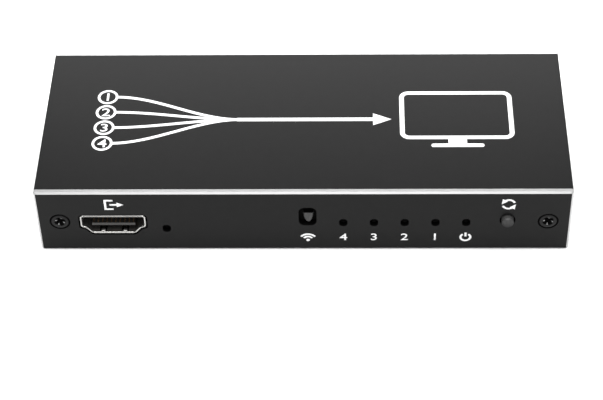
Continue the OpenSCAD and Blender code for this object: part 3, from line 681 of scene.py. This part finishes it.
# Painted shade: gold darkened as if in the shade inside the sockets
gold_contact = make_finish(
    "gold_contact", speckled((0.24, 0.15, 0.09), (0.32, 0.21, 0.13), per_mm=2.5),
    drifting(0.45, spread=0.1, per_mm=4.0), metallic=0.9
)
tinned_lead = make_finish(
    "tinned_lead", speckled(grey(0.52), grey(0.66), per_mm=2.0),
    drifting(0.36, spread=0.16, per_mm=3.0), metallic=0.95
)
bright_can = make_finish(
    "bright_can", speckled(grey(0.6), grey(0.72), per_mm=0.8, detail=3.0, stretch=(1, 1, 0.2)),
    drifting(0.28, spread=0.1, per_mm=1.5), metallic=1.0
)
black_moulding = make_finish(
    "black_moulding", speckled(grey(0.014), grey(0.021), per_mm=1.2),
    drifting(0.46, spread=0.12, per_mm=3.0), grained(0.2, depth=0.01, per_mm=7.0)
)
video_tongue = tongue_finish("video_tongue", "output_socket_insulator", 0)
power_tongue = tongue_finish("power_tongue", "power_socket_insulator", 1)
button_moulding = button_finish()
infrared_epoxy = make_finish(
    "infrared_epoxy", speckled(grey(0.012), grey(0.016), per_mm=0.7),
    drifting(0.34, spread=0.06, per_mm=1.5), specular=0.4
)
smoked_epoxy = make_finish(
    "smoked_epoxy", speckled(grey(0.006), grey(0.01), per_mm=0.8),
    drifting(0.3, spread=0.08, per_mm=1.5), specular=0.2
)
board_laminate = make_finish(
    "board_laminate",
    speckled((0.008, 0.05, 0.022), (0.015, 0.085, 0.038), per_mm=0.8, detail=4.0, stretch=(1, 0.15, 1)),
    drifting(0.4, spread=0.1, per_mm=2.0),
    grained(0.2, depth=0.02, per_mm=3.0, stretch=(1, 0.2, 1)),
)
ceramic_body = make_finish(
    "ceramic_body", speckled((0.3, 0.2, 0.11), (0.4, 0.27, 0.16), per_mm=2.0),
    drifting(0.5, spread=0.1, per_mm=3.0)
)
ferrite = make_finish(
    "ferrite", speckled(grey(0.06), grey(0.09), per_mm=2.0),
    drifting(0.6, spread=0.1, per_mm=3.0), grained(0.3, depth=0.02, per_mm=5.0)
)
white_print = make_finish(
    "white_print", speckled(grey(0.8), grey(0.9), per_mm=1.2),
    drifting(0.5, spread=0.1, per_mm=2.0), grained(0.15, depth=0.004, per_mm=6.0)
)
pale_floor = make_finish(
    "pale_floor", speckled(grey(0.86), grey(0.88), per_mm=0.004),
    drifting(0.6, spread=0.05, per_mm=0.01), specular=0.2
)

# Finishes of the CAD nodes that stay, by a part of the node's name, where a later line wins

node_finishes = {
    "circuit_board": board_laminate, "switch_body": black_moulding, "switch_frame": plated_steel,
    "switch_terminals": tinned_lead, "light_holders": black_moulding,
    "_led": smoked_epoxy, "chip": black_moulding, "microcontroller": black_moulding,
    "voltage_regulator": black_moulding, "power_inductor": ferrite, "crystal": bright_can,
    "capacitor_cans": bright_can, "capacitor_bases": black_moulding, "ceramic_capacitors": ceramic_body,
    "resistors": black_moulding, "surge_arrays": black_moulding, "socket_insulator": video_tongue,
    "power_socket_insulator": power_tongue, "socket_contacts": gold_contact,
    "power_socket_contacts": shaded_steel, "_leads": tinned_lead,
}
for node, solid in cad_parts.items():
    for part, finish in node_finishes.items():
        if part in node:
            solid.data.materials.clear()
            solid.data.materials.append(finish)

front = Panel("front_panel", 1)
rear = Panel("rear_panel", -1)
input_sockets = [f"input_{i}_socket" for i in (1, 2, 3, 4)]
lights = ["power_led"] + [f"indicator_led_{i}" for i in (1, 2, 3, 4)]


def mouth_spot(panel, socket):
    """Across and up of the middle of a video socket's mouth, from the top of its shell."""
    across, _ = panel.middle(socket + "_shell")
    return across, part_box(socket + "_shell")[1].z / MM - MOUTH_H / 2 - LIP_REACH


def power_spot():
    """Across and up of the middle of the power socket, from the top of its shell."""
    across, _ = rear.middle("power_socket_shell")
    return across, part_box("power_socket_shell")[1].z / MM - POWER_H / 2


def screw_spots(panel):
    """Across and up of a panel's two screws."""
    low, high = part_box(panel.node + "_screws")
    reach = (high.x - low.x) / 2 / MM - HEAD_D / 2
    up = (low.z + high.z) / 2 / MM
    return [(-reach, up), (reach, up)]


# Sleeve


def sleeve_inside():
    """Right half of the sleeve's inner outline, upwards: the board's slot, then the web and screw channel."""
    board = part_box("circuit_board")
    low, high = board[0].z / MM - SLOT_FIT, board[1].z / MM + SLOT_FIT
    side = front.w / 2 - WALL
    screw_x, screw_z = screw_spots(front)[1]
    lip = side - SLOT_DEPTH
    rise = CHANNEL_D / 2 * math.sin(math.radians(WEB_TURN))
    turn = np.radians(np.linspace(-WEB_TURN, WEB_TURN - 360, ROUND // 2))
    arc = np.column_stack([screw_x + CHANNEL_D / 2 * np.cos(turn), screw_z + CHANNEL_D / 2 * np.sin(turn)])
    return np.concatenate([
        [[side, WALL], [side, low - SLOT_LIP], [lip, low - SLOT_LIP], [lip, low], [side, low], [side, high]],
        [[lip, high], [lip, high + SLOT_LIP], [side, high + SLOT_LIP], [side, screw_z - rise]],
        arc, [[side, screw_z + rise], [side, front.h - WALL]],
    ])


def case_sleeve():
    """A section carried straight along the depth: the outer and inner outlines and two screw bores."""
    depths = front.depths("housing_sleeve")
    rounded = box_outline(0, front.h / 2, front.w, front.h, EDGE_RADIUS)(0)
    outer = np.minimum(rounded, [front.w, front.h - PRINT_T])
    right = sleeve_inside()
    inner = np.concatenate([right, right[::-1] * [-1, 1]])
    loops = [outer, inner] + [round_outline(*spot, BORE_D)(0) for spot in screw_spots(front)]
    form = Form()
    ends = []
    for loop in loops:
        rows = lofted(lambda grow: loop, [(0, depth) for depth in depths])
        form.grid(rows)
        ends.append(rows)
    for row in (0, 1):
        form.sheet([rows[row] for rows in ends])
    make_piece(
        "case_sleeve", form, [black_anodised], front.place, replaces=["housing_sleeve"]
    )


case_sleeve()

# End panels


def end_panel(name, panel, holes):
    """A plate: its outline goes from the chamfered face inwards, holes go through, and flats join them."""
    bare, bore_shadow = 1, 2
    form = Form()
    outline = box_outline(0, panel.h / 2, panel.w, panel.h, EDGE_RADIUS)
    rim = lofted(outline, [(-PANEL_CHAMFER, 0), (0, PANEL_CHAMFER), (0, panel.t)])
    plain = [(HOLE_BREAK, 0), (0, HOLE_BREAK), (0, panel.t)]
    head = HEAD_D / 2 + HEAD_FIT
    shank = THREAD_D / 2 + HEAD_FIT
    sunk = [(head, 0), (head, HEAD_RIM), (shank, HEAD_RIM + head - shank), (shank, panel.t)]
    bores = [lofted(hole, plain) for hole in holes]
    bores += [lofted(round_outline(*spot, 0), sunk) for spot in screw_spots(panel)]
    form.grid(rim, finish=bare)
    # The bore walls take the painted shadow black, as shade inside the holes
    for bore in bores:
        form.grid(bore, finish=bore_shadow)
    for row in (0, -1):
        form.sheet([rim[row]] + [bore[row] for bore in bores])
    finishes = [black_plate, bare_aluminium, painted_shadow_black]
    make_piece(name, form, finishes, panel.place, replaces=[panel.node])


def socket_cutout(panel, socket):
    """The hole for a video socket: its mouth's outline, grown past the lip and set a little lower."""
    across, up = mouth_spot(panel, socket)
    return larger(mouth_outline(across, up - CUTOUT_DROP), LIP_REACH + CUTOUT_FIT)


status_spot = front.middle("status_led")[0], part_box("status_led")[0].z / MM + STATUS_AXIS
front_holes = [
    socket_cutout(front, "output_socket"),
    box_outline(*front.middle("infrared_receiver"), WINDOW_W, WINDOW_H, WINDOW_R),
    round_outline(*front.middle("switch_button"), BUTTON_HOLE_D),
]
light_spots = [status_spot] + [front.middle(light) for light in lights]
front_holes += [box_outline(*spot, LIGHT_HOLE_W, LIGHT_HOLE_H, LIGHT_HOLE_W / 2) for spot in light_spots]
rear_holes = [socket_cutout(rear, socket) for socket in input_sockets]
rear_holes += [larger(pill_outline(*power_spot(), POWER_W, POWER_H), CUTOUT_FIT)]
end_panel("front_plate", front, front_holes)
end_panel("rear_plate", rear, rear_holes)

# Screws


def screw_surface(turn, length):
    """A countersunk screw about the depth axis.

    Along each direction the cross recess reaches as far as the longer of its two arms, its floor is a cone
    that is as deep as half the recess's width less the radius, and its edge is broken. Past it are the flat
    head, the cone below it, the shank and a blunt tip.
    """
    black, worn, shadow = 0, 1, 2
    half, arm = RECESS_W / 2, RECESS_ARM / 2
    corner = math.atan2(arm, half)
    quarter = np.linspace(0, math.pi / 2, ROUND // 4, endpoint=False)
    quarter = np.sort(np.append(quarter, [corner, math.pi / 2 - corner]))
    angle = (np.arange(4)[:, None] * math.pi / 2 + quarter).ravel()
    c, s = np.abs(np.cos(angle)) + TINY, np.abs(np.sin(angle)) + TINY
    edge = np.maximum(np.minimum(half / c, arm / s), np.minimum(half / s, arm / c))
    floor = np.linspace(0, 1, RECESS_ROWS)[:, None] * edge
    depth = np.maximum(half - floor, 0)
    head = HEAD_D / 2
    cone = HEAD_RIM + (HEAD_D - THREAD_D) / 2
    outside = np.array([
        [head - HEAD_EDGE, 0], [head, HEAD_RIM], [THREAD_D / 2, cone],
        [THREAD_D / 2, length - SCREW_TIP], [THREAD_D / 2 - SCREW_TIP, length], [0, length],
    ])
    flat = np.ones_like(edge)
    inmost = np.clip(1 - np.abs(np.degrees(angle) % 90 - 45) / CORNER_SPREAD, 0, 1)
    rim = edge + RECESS_BREAK + CORNER_BREAK * inmost
    slope = np.minimum(depth[-1], RECESS_BREAK + CORNER_BREAK / 2 * inmost)
    radius = np.vstack([floor, edge, rim, outside[:, :1] * flat])
    depth = np.vstack([depth, slope, 0 * flat, outside[:, 1:] * flat])
    way = angle + math.radians(turn)
    points = np.stack([radius * np.cos(way), depth, radius * np.sin(way)], -1)
    # Painted shadow: the recess floor and the head's edge, cone and shank take the painted shadow black
    finish = np.full((len(points) - 1, len(angle)), black)
    finish[:len(floor)] = shadow
    finish[len(floor), inmost > WORN_SHARE] = worn
    finish[len(floor) + 2:] = shadow
    return points, finish


def screw_pair(name, panel, turns):
    """A panel's two screws, each with its recess turned by its own angle."""
    form = Form()
    node = panel.node + "_screws"
    _, length = panel.depths(node)
    for (across, up), turn in zip(screw_spots(panel), turns):
        points, finish = screw_surface(turn, length)
        form.grid(points + [across, 0, up], finish)
    finishes = [black_screw_steel, worn_screw_steel, painted_shadow_black]
    make_piece(name, form, finishes, panel.place, replaces=[node])


screw_pair("front_screws", front, FRONT_SCREW_TURNS)
screw_pair("rear_screws", rear, REAR_SCREW_TURNS)

# Video sockets


def add_legs(form, reach, starts, foot):
    """A shell's legs: at each side and start, a rounded rectangle carried down and narrowed at the foot."""
    for side in (-1, 1):
        for start in starts:
            leg = box_outline(side * reach, start + LEG_W / 2, SHELL_T, LEG_W, LEG_CORNER)
            ring = lofted(leg, [(0, 0), (0, foot), (-LEG_TAPER, foot)])
            form.grid(ring[:, :, [0, 2, 1]], ends=True)


def spring_path(level):
    """Depth and up of a leaf spring: it leaves the wall behind the lip, swells and sinks to its tip.

    The swell is the sine of half a turn times a power of the way along, which leans it towards the front.
    """
    t = np.linspace(0, 1, CURVE)
    depth = SPRING_FRONT + (SPRING_BACK - SPRING_TIP - SPRING_FRONT) * t
    swell = np.sin(math.pi * t ** SPRING_LEAN) * SPRING_RISE
    return np.column_stack([depth, level + swell])


def video_shell(socket, panel):
    """A plated shell: the mouth's outline is carried along the outside, over a rolled lip and back inside.

    The wall has a pocket round each of four leaf springs, painted shadow black as shade, and four legs go
    through the board.
    """
    plated, dark, shaded, spring_shade, dimmed = range(5)
    across, up = mouth_spot(panel, socket)
    near, far = panel.depths(socket + "_shell")
    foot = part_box(socket + "_shell")[0].z / MM - up
    half = SPRING_W / 2 + SPRING_GAP
    stops = [-SPRING_X - half, -SPRING_X + half, SPRING_X - half, SPRING_X + half]
    lip = LIP_ROLL / 2
    roll = np.linspace(0, math.pi, LIP_POINTS)
    inside = [(0, SPRING_FRONT), (0, SPRING_BACK), (0, far), (SHELL_T, far)]
    profile = [(SHELL_T, depth) for depth in (far, SPRING_BACK, SPRING_FRONT, LIP_DEPTH + LIP_TAPER)]
    profile += [(LIP_ROLL, LIP_DEPTH)]
    profile += [(lip + lip * math.cos(a), near + lip - lip * math.sin(a)) for a in roll]
    profile += inside
    points = lofted(mouth_outline(0, 0, stops), profile)
    onward = np.roll(points, -1, 1)
    depth = (points[:-1, :, 1] + points[1:, :, 1]) / 2
    level = np.abs(points - onward)[:-1, :, 2] < SAME
    beside = np.abs(np.abs((points + onward)[:-1, :, 0] / 2) - SPRING_X) < half
    inner = np.arange(len(profile) - 1)[:, None] >= len(profile) - len(inside)
    opened = inner & level & beside & (depth > SPRING_FRONT) & (depth < SPRING_BACK)
    # Painted shade: the level top stretch of the outside and the lip takes the darker dimmed steel
    shaded_top = level & (points[:-1, :, 2] > 0)
    form = Form()
    form.grid(points, finish=np.where(inner, shaded, np.where(shaded_top, dimmed, plated)), keep=~opened)
    leaf = strap(spring_path(-MOUTH_H / 2 - SPRING_T), SPRING_W, SPRING_T)
    # Painted light and shade: each spring's front stretch takes the lighter dimmed steel, the rest the dark
    # spring steel
    lit = leaf[:-1, :, 1] < SPRING_FRONT + SPRING_LIT
    for side in (-1, 1):
        for way in (-1, 1):
            x = side * SPRING_X + half * np.array([-1, 1, 1, -1])
            y = np.array([SPRING_FRONT, SPRING_FRONT, SPRING_BACK, SPRING_BACK])
            walls = [np.column_stack([x, y, np.full(4, way * (MOUTH_H / 2 + g))]) for g in (0, POCKET)]
            form.grid(np.stack(walls), finish=dark)
            form.add(walls[1], [[0, 1, 2, 3]], finish=dark)
            spring = leaf * [1, 1, -way] + [side * SPRING_X, 0, 0]
            form.grid(spring, finish=np.where(lit, dimmed, spring_shade), ends=True)
    add_legs(form, (MOUTH_W + SHELL_T) / 2, (LEG_FIRST, LEG_FIRST + LEG_PITCH), foot)
    make_piece(
        socket + "_sleeve", form, [plated_steel, painted_shadow_black, shaded_steel, shaded_spring_steel, dimmed_steel],
        lambda p: panel.place(p + [across, 0, up]), replaces=[socket + "_shell"]
    )


video_shell("output_socket", front)
for socket in input_sockets:
    video_shell(socket, rear)

# Power socket


def power_shell():
    """A drawn shell: a pill outline carried along the outside, over a half-round edge and back inside."""
    across, up = power_spot()
    near, far = rear.depths("power_socket_shell")
    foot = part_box("power_socket_shell")[0].z / MM - up
    half = SHELL_T / 2
    roll = np.linspace(0, math.pi, POWER_EDGE_POINTS)
    profile = [(0, far)]
    profile += [(half * math.cos(a) - half, near + half - half * math.sin(a)) for a in roll]
    profile += [(-SHELL_T, far), (0, far)]
    form = Form()
    form.grid(lofted(pill_outline(0, 0, POWER_W, POWER_H), profile))
    add_legs(form, (POWER_W - SHELL_T) / 2, (LEG_FIRST, far - LEG_W), foot)
    make_piece(
        "power_socket_sleeve", form, [dimmed_steel], lambda p: rear.place(p + [across, 0, up]),
        replaces=["power_socket_shell"]
    )


power_shell()

# Push button


def push_button():
    """A turned button: a dome that is a quarter of an ellipse, then the stem, the collar and the nub."""
    near, far = front.depths("switch_button")
    r = BUTTON_D / 2
    turn = np.linspace(0, math.pi / 2, CURVE)
    dome = np.column_stack([r * np.sin(turn), near + BUTTON_DOME * (1 - np.cos(turn))])
    collar = far - NUB_L
    stem = [
        [r, collar - COLLAR_T], [COLLAR_D / 2, collar - COLLAR_T], [COLLAR_D / 2, collar],
        [NUB_D / 2, collar], [NUB_D / 2, far], [0, far]
    ]
    form = Form()
    form.grid(turned(np.vstack([dome, stem]), *front.middle("switch_button")))
    make_piece(
        "push_button", form, [button_moulding], front.place, body="button",
        replaces=["switch_button"]
    )


def snap_dome():
    """A thin dome under the button: depth falls from the rim with one less the square of the radius's share.
    """
    across, up = front.middle("switch_dome")
    near, far = front.depths("switch_dome")
    low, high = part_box("switch_dome")
    r, rise = (high.x - low.x) / 2 / MM, far - near
    share = np.linspace(0, 1, CORNER)
    outer = np.column_stack([r * share, far - rise * (1 - share ** 2)])
    inner = np.column_stack([(r - DOME_T) * share, far - (rise - DOME_T) * (1 - share ** 2)])
    form = Form()
    form.grid(turned(np.vstack([outer, inner[::-1]]), across, up))
    dome = make_piece(
        "snap_dome", form, [plated_steel], front.place, replaces=["switch_dome"]
    )
    rim = Vector(front.place([across, far, up])) * MM
    1 - (BUTTON_TRAVEL + DOME_FIT) / rise
    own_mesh(dome)


push_button()
snap_dome()

# Infrared receiver


def shrinking(share, powers):
    """One less a power of a share, raised to another power."""
    first, second = powers
    return (1 - share ** first) ** second


def infrared_eye():
    """A rounded block with a lens on its face; the block and the lens's flat top are painted shadow black as
    shade.

    Going down the lens, from 0 at its flat top to 1 at its tip, its half width and its rise shrink as one
    less a power of the way down, raised to a power. Each level is half an oval with a flattened front.
    """
    across, up = front.middle("infrared_receiver")
    _, far = front.depths("infrared_receiver")
    low, high = (np.array(corner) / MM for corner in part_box("infrared_receiver"))
    w, _, h = high - low
    face = front.t + LIGHT_FIT
    block = box_outline(across, up, w, h, RECEIVER_EDGE)
    form = Form()
    form.grid(lofted(block, [
        (-RECEIVER_EDGE, face), (0, face + RECEIVER_EDGE), (0, far - RECEIVER_EDGE), (-RECEIVER_EDGE, far)
    ]), ends=True)
    down = np.sin(np.linspace(0, math.pi / 2, CURVE))
    half = LENS_R * shrinking(down, LENS_NARROWING)
    rise = LENS_RISE * shrinking(down, LENS_FLATTENING)
    level = LENS_TOP - LENS_EDGE - (LENS_L - LENS_EDGE) * down
    half, rise, level = (np.append(first, rest)[:, None] for first, rest in (
        (LENS_R - LENS_EDGE, half), (LENS_RISE - LENS_EDGE, rise), (LENS_TOP, level)
    ))
    turn = np.linspace(0, math.pi, ROUND // 2)
    side = np.cos(turn)
    front_curve = shrinking(side, LENS_FLATTENING)
    lens = np.stack([across + LENS_SHIFT + half * side, face - rise * front_curve, up + level + 0 * turn], -1)
    form.grid(lens, finish=1)
    form.add(lens[0], [list(range(len(turn)))])
    make_piece(
        "infrared_eye", form, [painted_shadow_black, infrared_epoxy], front.place,
        replaces=["infrared_receiver"]
    )


infrared_eye()

# Prints, drawn on a face's own directions as thin films of ink


def line_area(path, w, closed=False):
    """A drawn line: half its width to both sides of the path, along normals that are mitred at each point."""
    path = np.asarray(path, float)
    ahead = np.roll(path, -1, 0) - path
    behind = np.roll(ahead, 1, 0)
    if not closed:
        ahead[-1], behind[0] = behind[-1], ahead[0]
    ahead = ahead / np.linalg.norm(ahead, axis=1)[:, None]
    behind = behind / np.linalg.norm(behind, axis=1)[:, None]
    both = ahead + behind
    normal = np.column_stack([-both[:, 1], both[:, 0]]) * (w / 2 / (1 + (ahead * behind).sum(1)))[:, None]
    left, right = path + normal, path - normal
    return [left, right] if closed else [np.concatenate([left, right[::-1]])]


def arc_path(across, up, r, start, end):
    """Points on part of a circle, from one angle in degrees to another."""
    turn = np.radians(np.linspace(start, end, ROUND // 2))
    return np.column_stack([across + r * np.cos(turn), up + r * np.sin(turn)])


def ring_area(across, up, d, w):
    """A circle drawn with a line."""
    return [round_outline(across, up, d)(side * w / 2) for side in (1, -1)]


def arrow_area(across, up, way, size):
    """A filled triangle around a place, pointing along a direction given in degrees."""
    turn = np.radians(np.array(ARROW_CORNERS) + way)
    return [np.column_stack([across + size * np.cos(turn), up + size * np.sin(turn)])]


def bar_area(across, up, half):
    """A level line of a given half length round a place."""
    return line_area([[across - half, up], [across + half, up]], LINE_W)


def socket_sign(across, up, way):
    """A bracket with an arrow through its open side, out of it or into it by the sign of way."""
    corners = [[BRACKET_ARM, 1], [-BRACKET_BACK, 1], [-BRACKET_BACK, -1], [BRACKET_ARM, -1]]
    bracket = np.array(corners) * [way, BRACKET_HALF] + [across, up]
    start, end = ARROW_OUT if way > 0 else ARROW_IN
    shaft = [[across + start, up], [across + end, up]]
    arrow = arrow_area(across + end, up, 0, SIGN_ARROW)
    return [line_area(bracket, LINE_W), line_area(shaft, LINE_W), arrow]


def power_sign(across, up):
    """Part of a circle that is open at the top, and an upright bar in the opening."""
    circle = arc_path(across, up - POWER_SIGN_DROP, POWER_SIGN_R, *POWER_SIGN_ARC)
    bar = [[across, up + end] for end in POWER_SIGN_BAR]
    return [line_area(circle, LINE_W), line_area(bar, LINE_W)]


def infrared_sign(across, up):
    """A dot, and two arcs above it round the same middle."""
    middle = up - WAVE_DROP
    waves = [line_area(arc_path(across, middle, r, *WAVE_ARC), LINE_W) for r in WAVE_RADII]
    return [[round_outline(across, middle, WAVE_DOT_D)(0)]] + waves


def cycle_sign(across, up):
    """Two arcs of one circle, each with an arrow just past its end."""
    areas = []
    for start in CYCLE_STARTS:
        tip = math.radians(start + CYCLE_TIP)
        place = across + CYCLE_R * math.cos(tip), up + CYCLE_R * math.sin(tip)
        areas += [line_area(arc_path(across, up, CYCLE_R, start, start + CYCLE_SWEEP), LINE_W)]
        areas += [arrow_area(*place, start + CYCLE_TURN, CYCLE_ARROW)]
    return areas


def current_sign(across, up):
    """A bar above three dashes."""
    dashes = [bar_area(across + place, up - CURRENT_RISE, DASH_HALF) for place in DASH_PLACES]
    return [bar_area(across, up + CURRENT_RISE, CURRENT_HALF)] + dashes


def number_sheet(number, across, up, h):
    """Points and triangles of a plain number of a given height, from the built-in font."""
    curve = bpy.data.curves.new("number", "FONT")
    curve.body = str(number)
    curve.offset = NUMBER_WEIGHT
    drawn = bpy.data.objects.new("number", curve)
    bpy.context.scene.collection.objects.link(drawn)
    mesh = bpy.data.meshes.new_from_object(drawn.evaluated_get(bpy.context.evaluated_depsgraph_get()))
    points = np.empty(3 * len(mesh.vertices))
    mesh.vertices.foreach_get("co", points)
    points = points.reshape(-1, 3)[:, :2]
    faces = [list(face.vertices) for face in mesh.polygons]
    bpy.data.objects.remove(drawn)
    bpy.data.curves.remove(curve)
    bpy.data.meshes.remove(mesh)
    low, high = points.min(0), points.max(0)
    return (points - (low + high) / 2) * [NUMBER_WIDTH, 1] * h / (high[1] - low[1]) + [across, up], faces


def ink_film(name, areas, numbers, place):
    """A film of ink: areas joined into one flat sheet, and the numbers, with the film's thickness below."""
    form = Form()
    loops = [loop for area in areas for loop in area]
    points, faces = triangles(loops)
    centres = points[faces].mean(1)
    inked = np.any([np.sum([within(loop, centres) for loop in area], 0) % 2 == 1 for area in areas], axis=0)
    sheets = [(points, faces[inked].tolist())] + [number_sheet(*number) for number in numbers]
    for points, faces in sheets:
        form.add(np.column_stack([points[:, 0], np.full(len(points), -PRINT_T), points[:, 1]]), faces)
    film = make_piece(name, form, [white_print], place, outward=False)
    depth = film.modifiers.new("film", "SOLIDIFY")
    depth.thickness = FILM_SHARE * PRINT_T * MM
    depth.offset = -1


def front_print():
    """A sign over the output socket and the button, and signs and numbers below the window and the lights."""
    power_x, power_up = front.middle("power_led")
    label_up = power_up - LABEL_DROP
    areas = socket_sign(front.middle("output_socket_shell")[0], SIGN_UP, 1)
    areas += power_sign(power_x, label_up)
    areas += infrared_sign(front.middle("infrared_receiver")[0], label_up)
    areas += cycle_sign(front.middle("switch_button")[0], SIGN_UP)
    numbers = [(light[-1], front.middle(light)[0], label_up, NUMBER_H) for light in lights[1:]]
    ink_film("front_print", areas, numbers, front.place)


def rear_print():
    """A sign and a number over each input socket, and a sign over the power socket."""
    places = [rear.middle(socket + "_shell")[0] for socket in input_sockets]
    areas = [area for place in places for area in socket_sign(place - INPUT_SIGN_LEFT, SIGN_UP, -1)]
    areas += current_sign(rear.middle("power_socket_shell")[0], SIGN_UP)
    numbers = [(i + 1, place + INPUT_NUMBER_RIGHT, SIGN_UP, NUMBER_H) for i, place in enumerate(places)]
    ink_film("rear_print", areas, numbers, rear.place)


def top_print():
    """Four numbered rings at the left, curves that fall into one line, and a screen at its end.

    Along a curve t goes from 0 to 1, and the height is its row's times one less the ease, which is t squared
    times 3 less 2t.
    """
    t = np.linspace(0, 1, LEAD_POINTS)
    ease = t * t * (3 - 2 * t)
    areas = [ring_area(RING_X, row, RING_D, RING_LINE) for row in RING_ROWS]
    leads = [np.column_stack([LEAD_X + LEAD_L * t, row * (1 - ease)]) for row in RING_ROWS]
    areas += [line_area(lead, LEAD_LINE) for lead in leads]
    areas += [line_area([[end, 0] for end in TRUNK_ENDS], TRUNK_LINE)]
    areas += [arrow_area(TRUNK_TIP, 0, 0, TRUNK_ARROW)]
    areas += [line_area(box_outline(*SCREEN)(0), TRUNK_LINE, closed=True)]
    areas += [[box_outline(*STAND_NECK)(0)], [box_outline(*STAND_FOOT)(0)]]
    numbers = [(i + 1, RING_X, row, RING_NUMBER_H) for i, row in enumerate(RING_ROWS)]
    ink_film("top_print", areas, numbers, lambda p: p[:, [0, 2, 1]] * [1, 1, -1] + [0, 0, front.h - PRINT_T])


front_print()
rear_print()
top_print()

# Floor, light and camera


def studio_light(name, place, aim, size, power):
    """A soft rectangular light at a place, turned to an aim; places in millimetres, power in watts."""
    lamp = bpy.data.lights.new(name, "AREA")
    lamp.shape = "RECTANGLE"
    lamp.size, lamp.size_y = (s * MM for s in size)
    lamp.energy = power
    made = bpy.data.objects.new(name, lamp)
    made.location = Vector(place) * MM
    made.rotation_euler = (Vector(aim) - Vector(place)).to_track_quat("-Z", "Y").to_euler()
    bpy.context.scene.collection.objects.link(made)


def pale_ground():
    """A wide square at the level the box stands on."""
    corners = np.array([[-1, -1, 0], [1, -1, 0], [1, 1, 0], [-1, 1, 0]]) * FLOOR_REACH * MM
    mesh = bpy.data.meshes.new("floor")
    mesh.from_pydata(corners.tolist(), [], [[0, 1, 2, 3]])
    mesh.materials.append(pale_floor)
    made = bpy.data.objects.new("floor", mesh)
    bpy.context.scene.collection.objects.link(made)


def photo_camera():
    """The camera's directions: back from azimuth and elevation, right level, both turned by the roll."""
    back = Vector((
        math.sin(CAMERA_AZIMUTH) * math.cos(CAMERA_ELEVATION),
        -math.cos(CAMERA_AZIMUTH) * math.cos(CAMERA_ELEVATION),
        math.sin(CAMERA_ELEVATION),
    ))
    level = Vector((math.cos(CAMERA_AZIMUTH), math.sin(CAMERA_AZIMUTH), 0))
    upright = back.cross(level)
    right = level * math.cos(CAMERA_ROLL) + upright * math.sin(CAMERA_ROLL)
    up = upright * math.cos(CAMERA_ROLL) - level * math.sin(CAMERA_ROLL)
    lens = bpy.data.cameras.new("photo_camera")
    lens.sensor_width = SENSOR_W
    lens.lens = SENSOR_W * FOCAL_PX / PHOTO_W
    made = bpy.data.objects.new("photo_camera", lens)
    place = sum((way * step for way, step in zip((right, up, back), CAMERA_OFFSET)), Vector()) * MM
    made.matrix_world = Matrix.Translation(place) @ Matrix((right, up, back)).transposed().to_4x4()
    bpy.context.scene.collection.objects.link(made)
    bpy.context.scene.camera = made


pale_ground()
photo_camera()
for name, (place, aim, size, power) in STUDIO_LIGHTS.items():
    studio_light(name, place, aim, size, power)
surround = bpy.data.worlds.new("surround")
surround.use_nodes = True
background = surround.node_tree.nodes["Background"].inputs
background["Color"].default_value = (1, 1, 1, 1)
background["Strength"].default_value = SURROUND_STRENGTH
bpy.context.scene.world = surround
bpy.context.scene.view_settings.view_transform = "Standard"
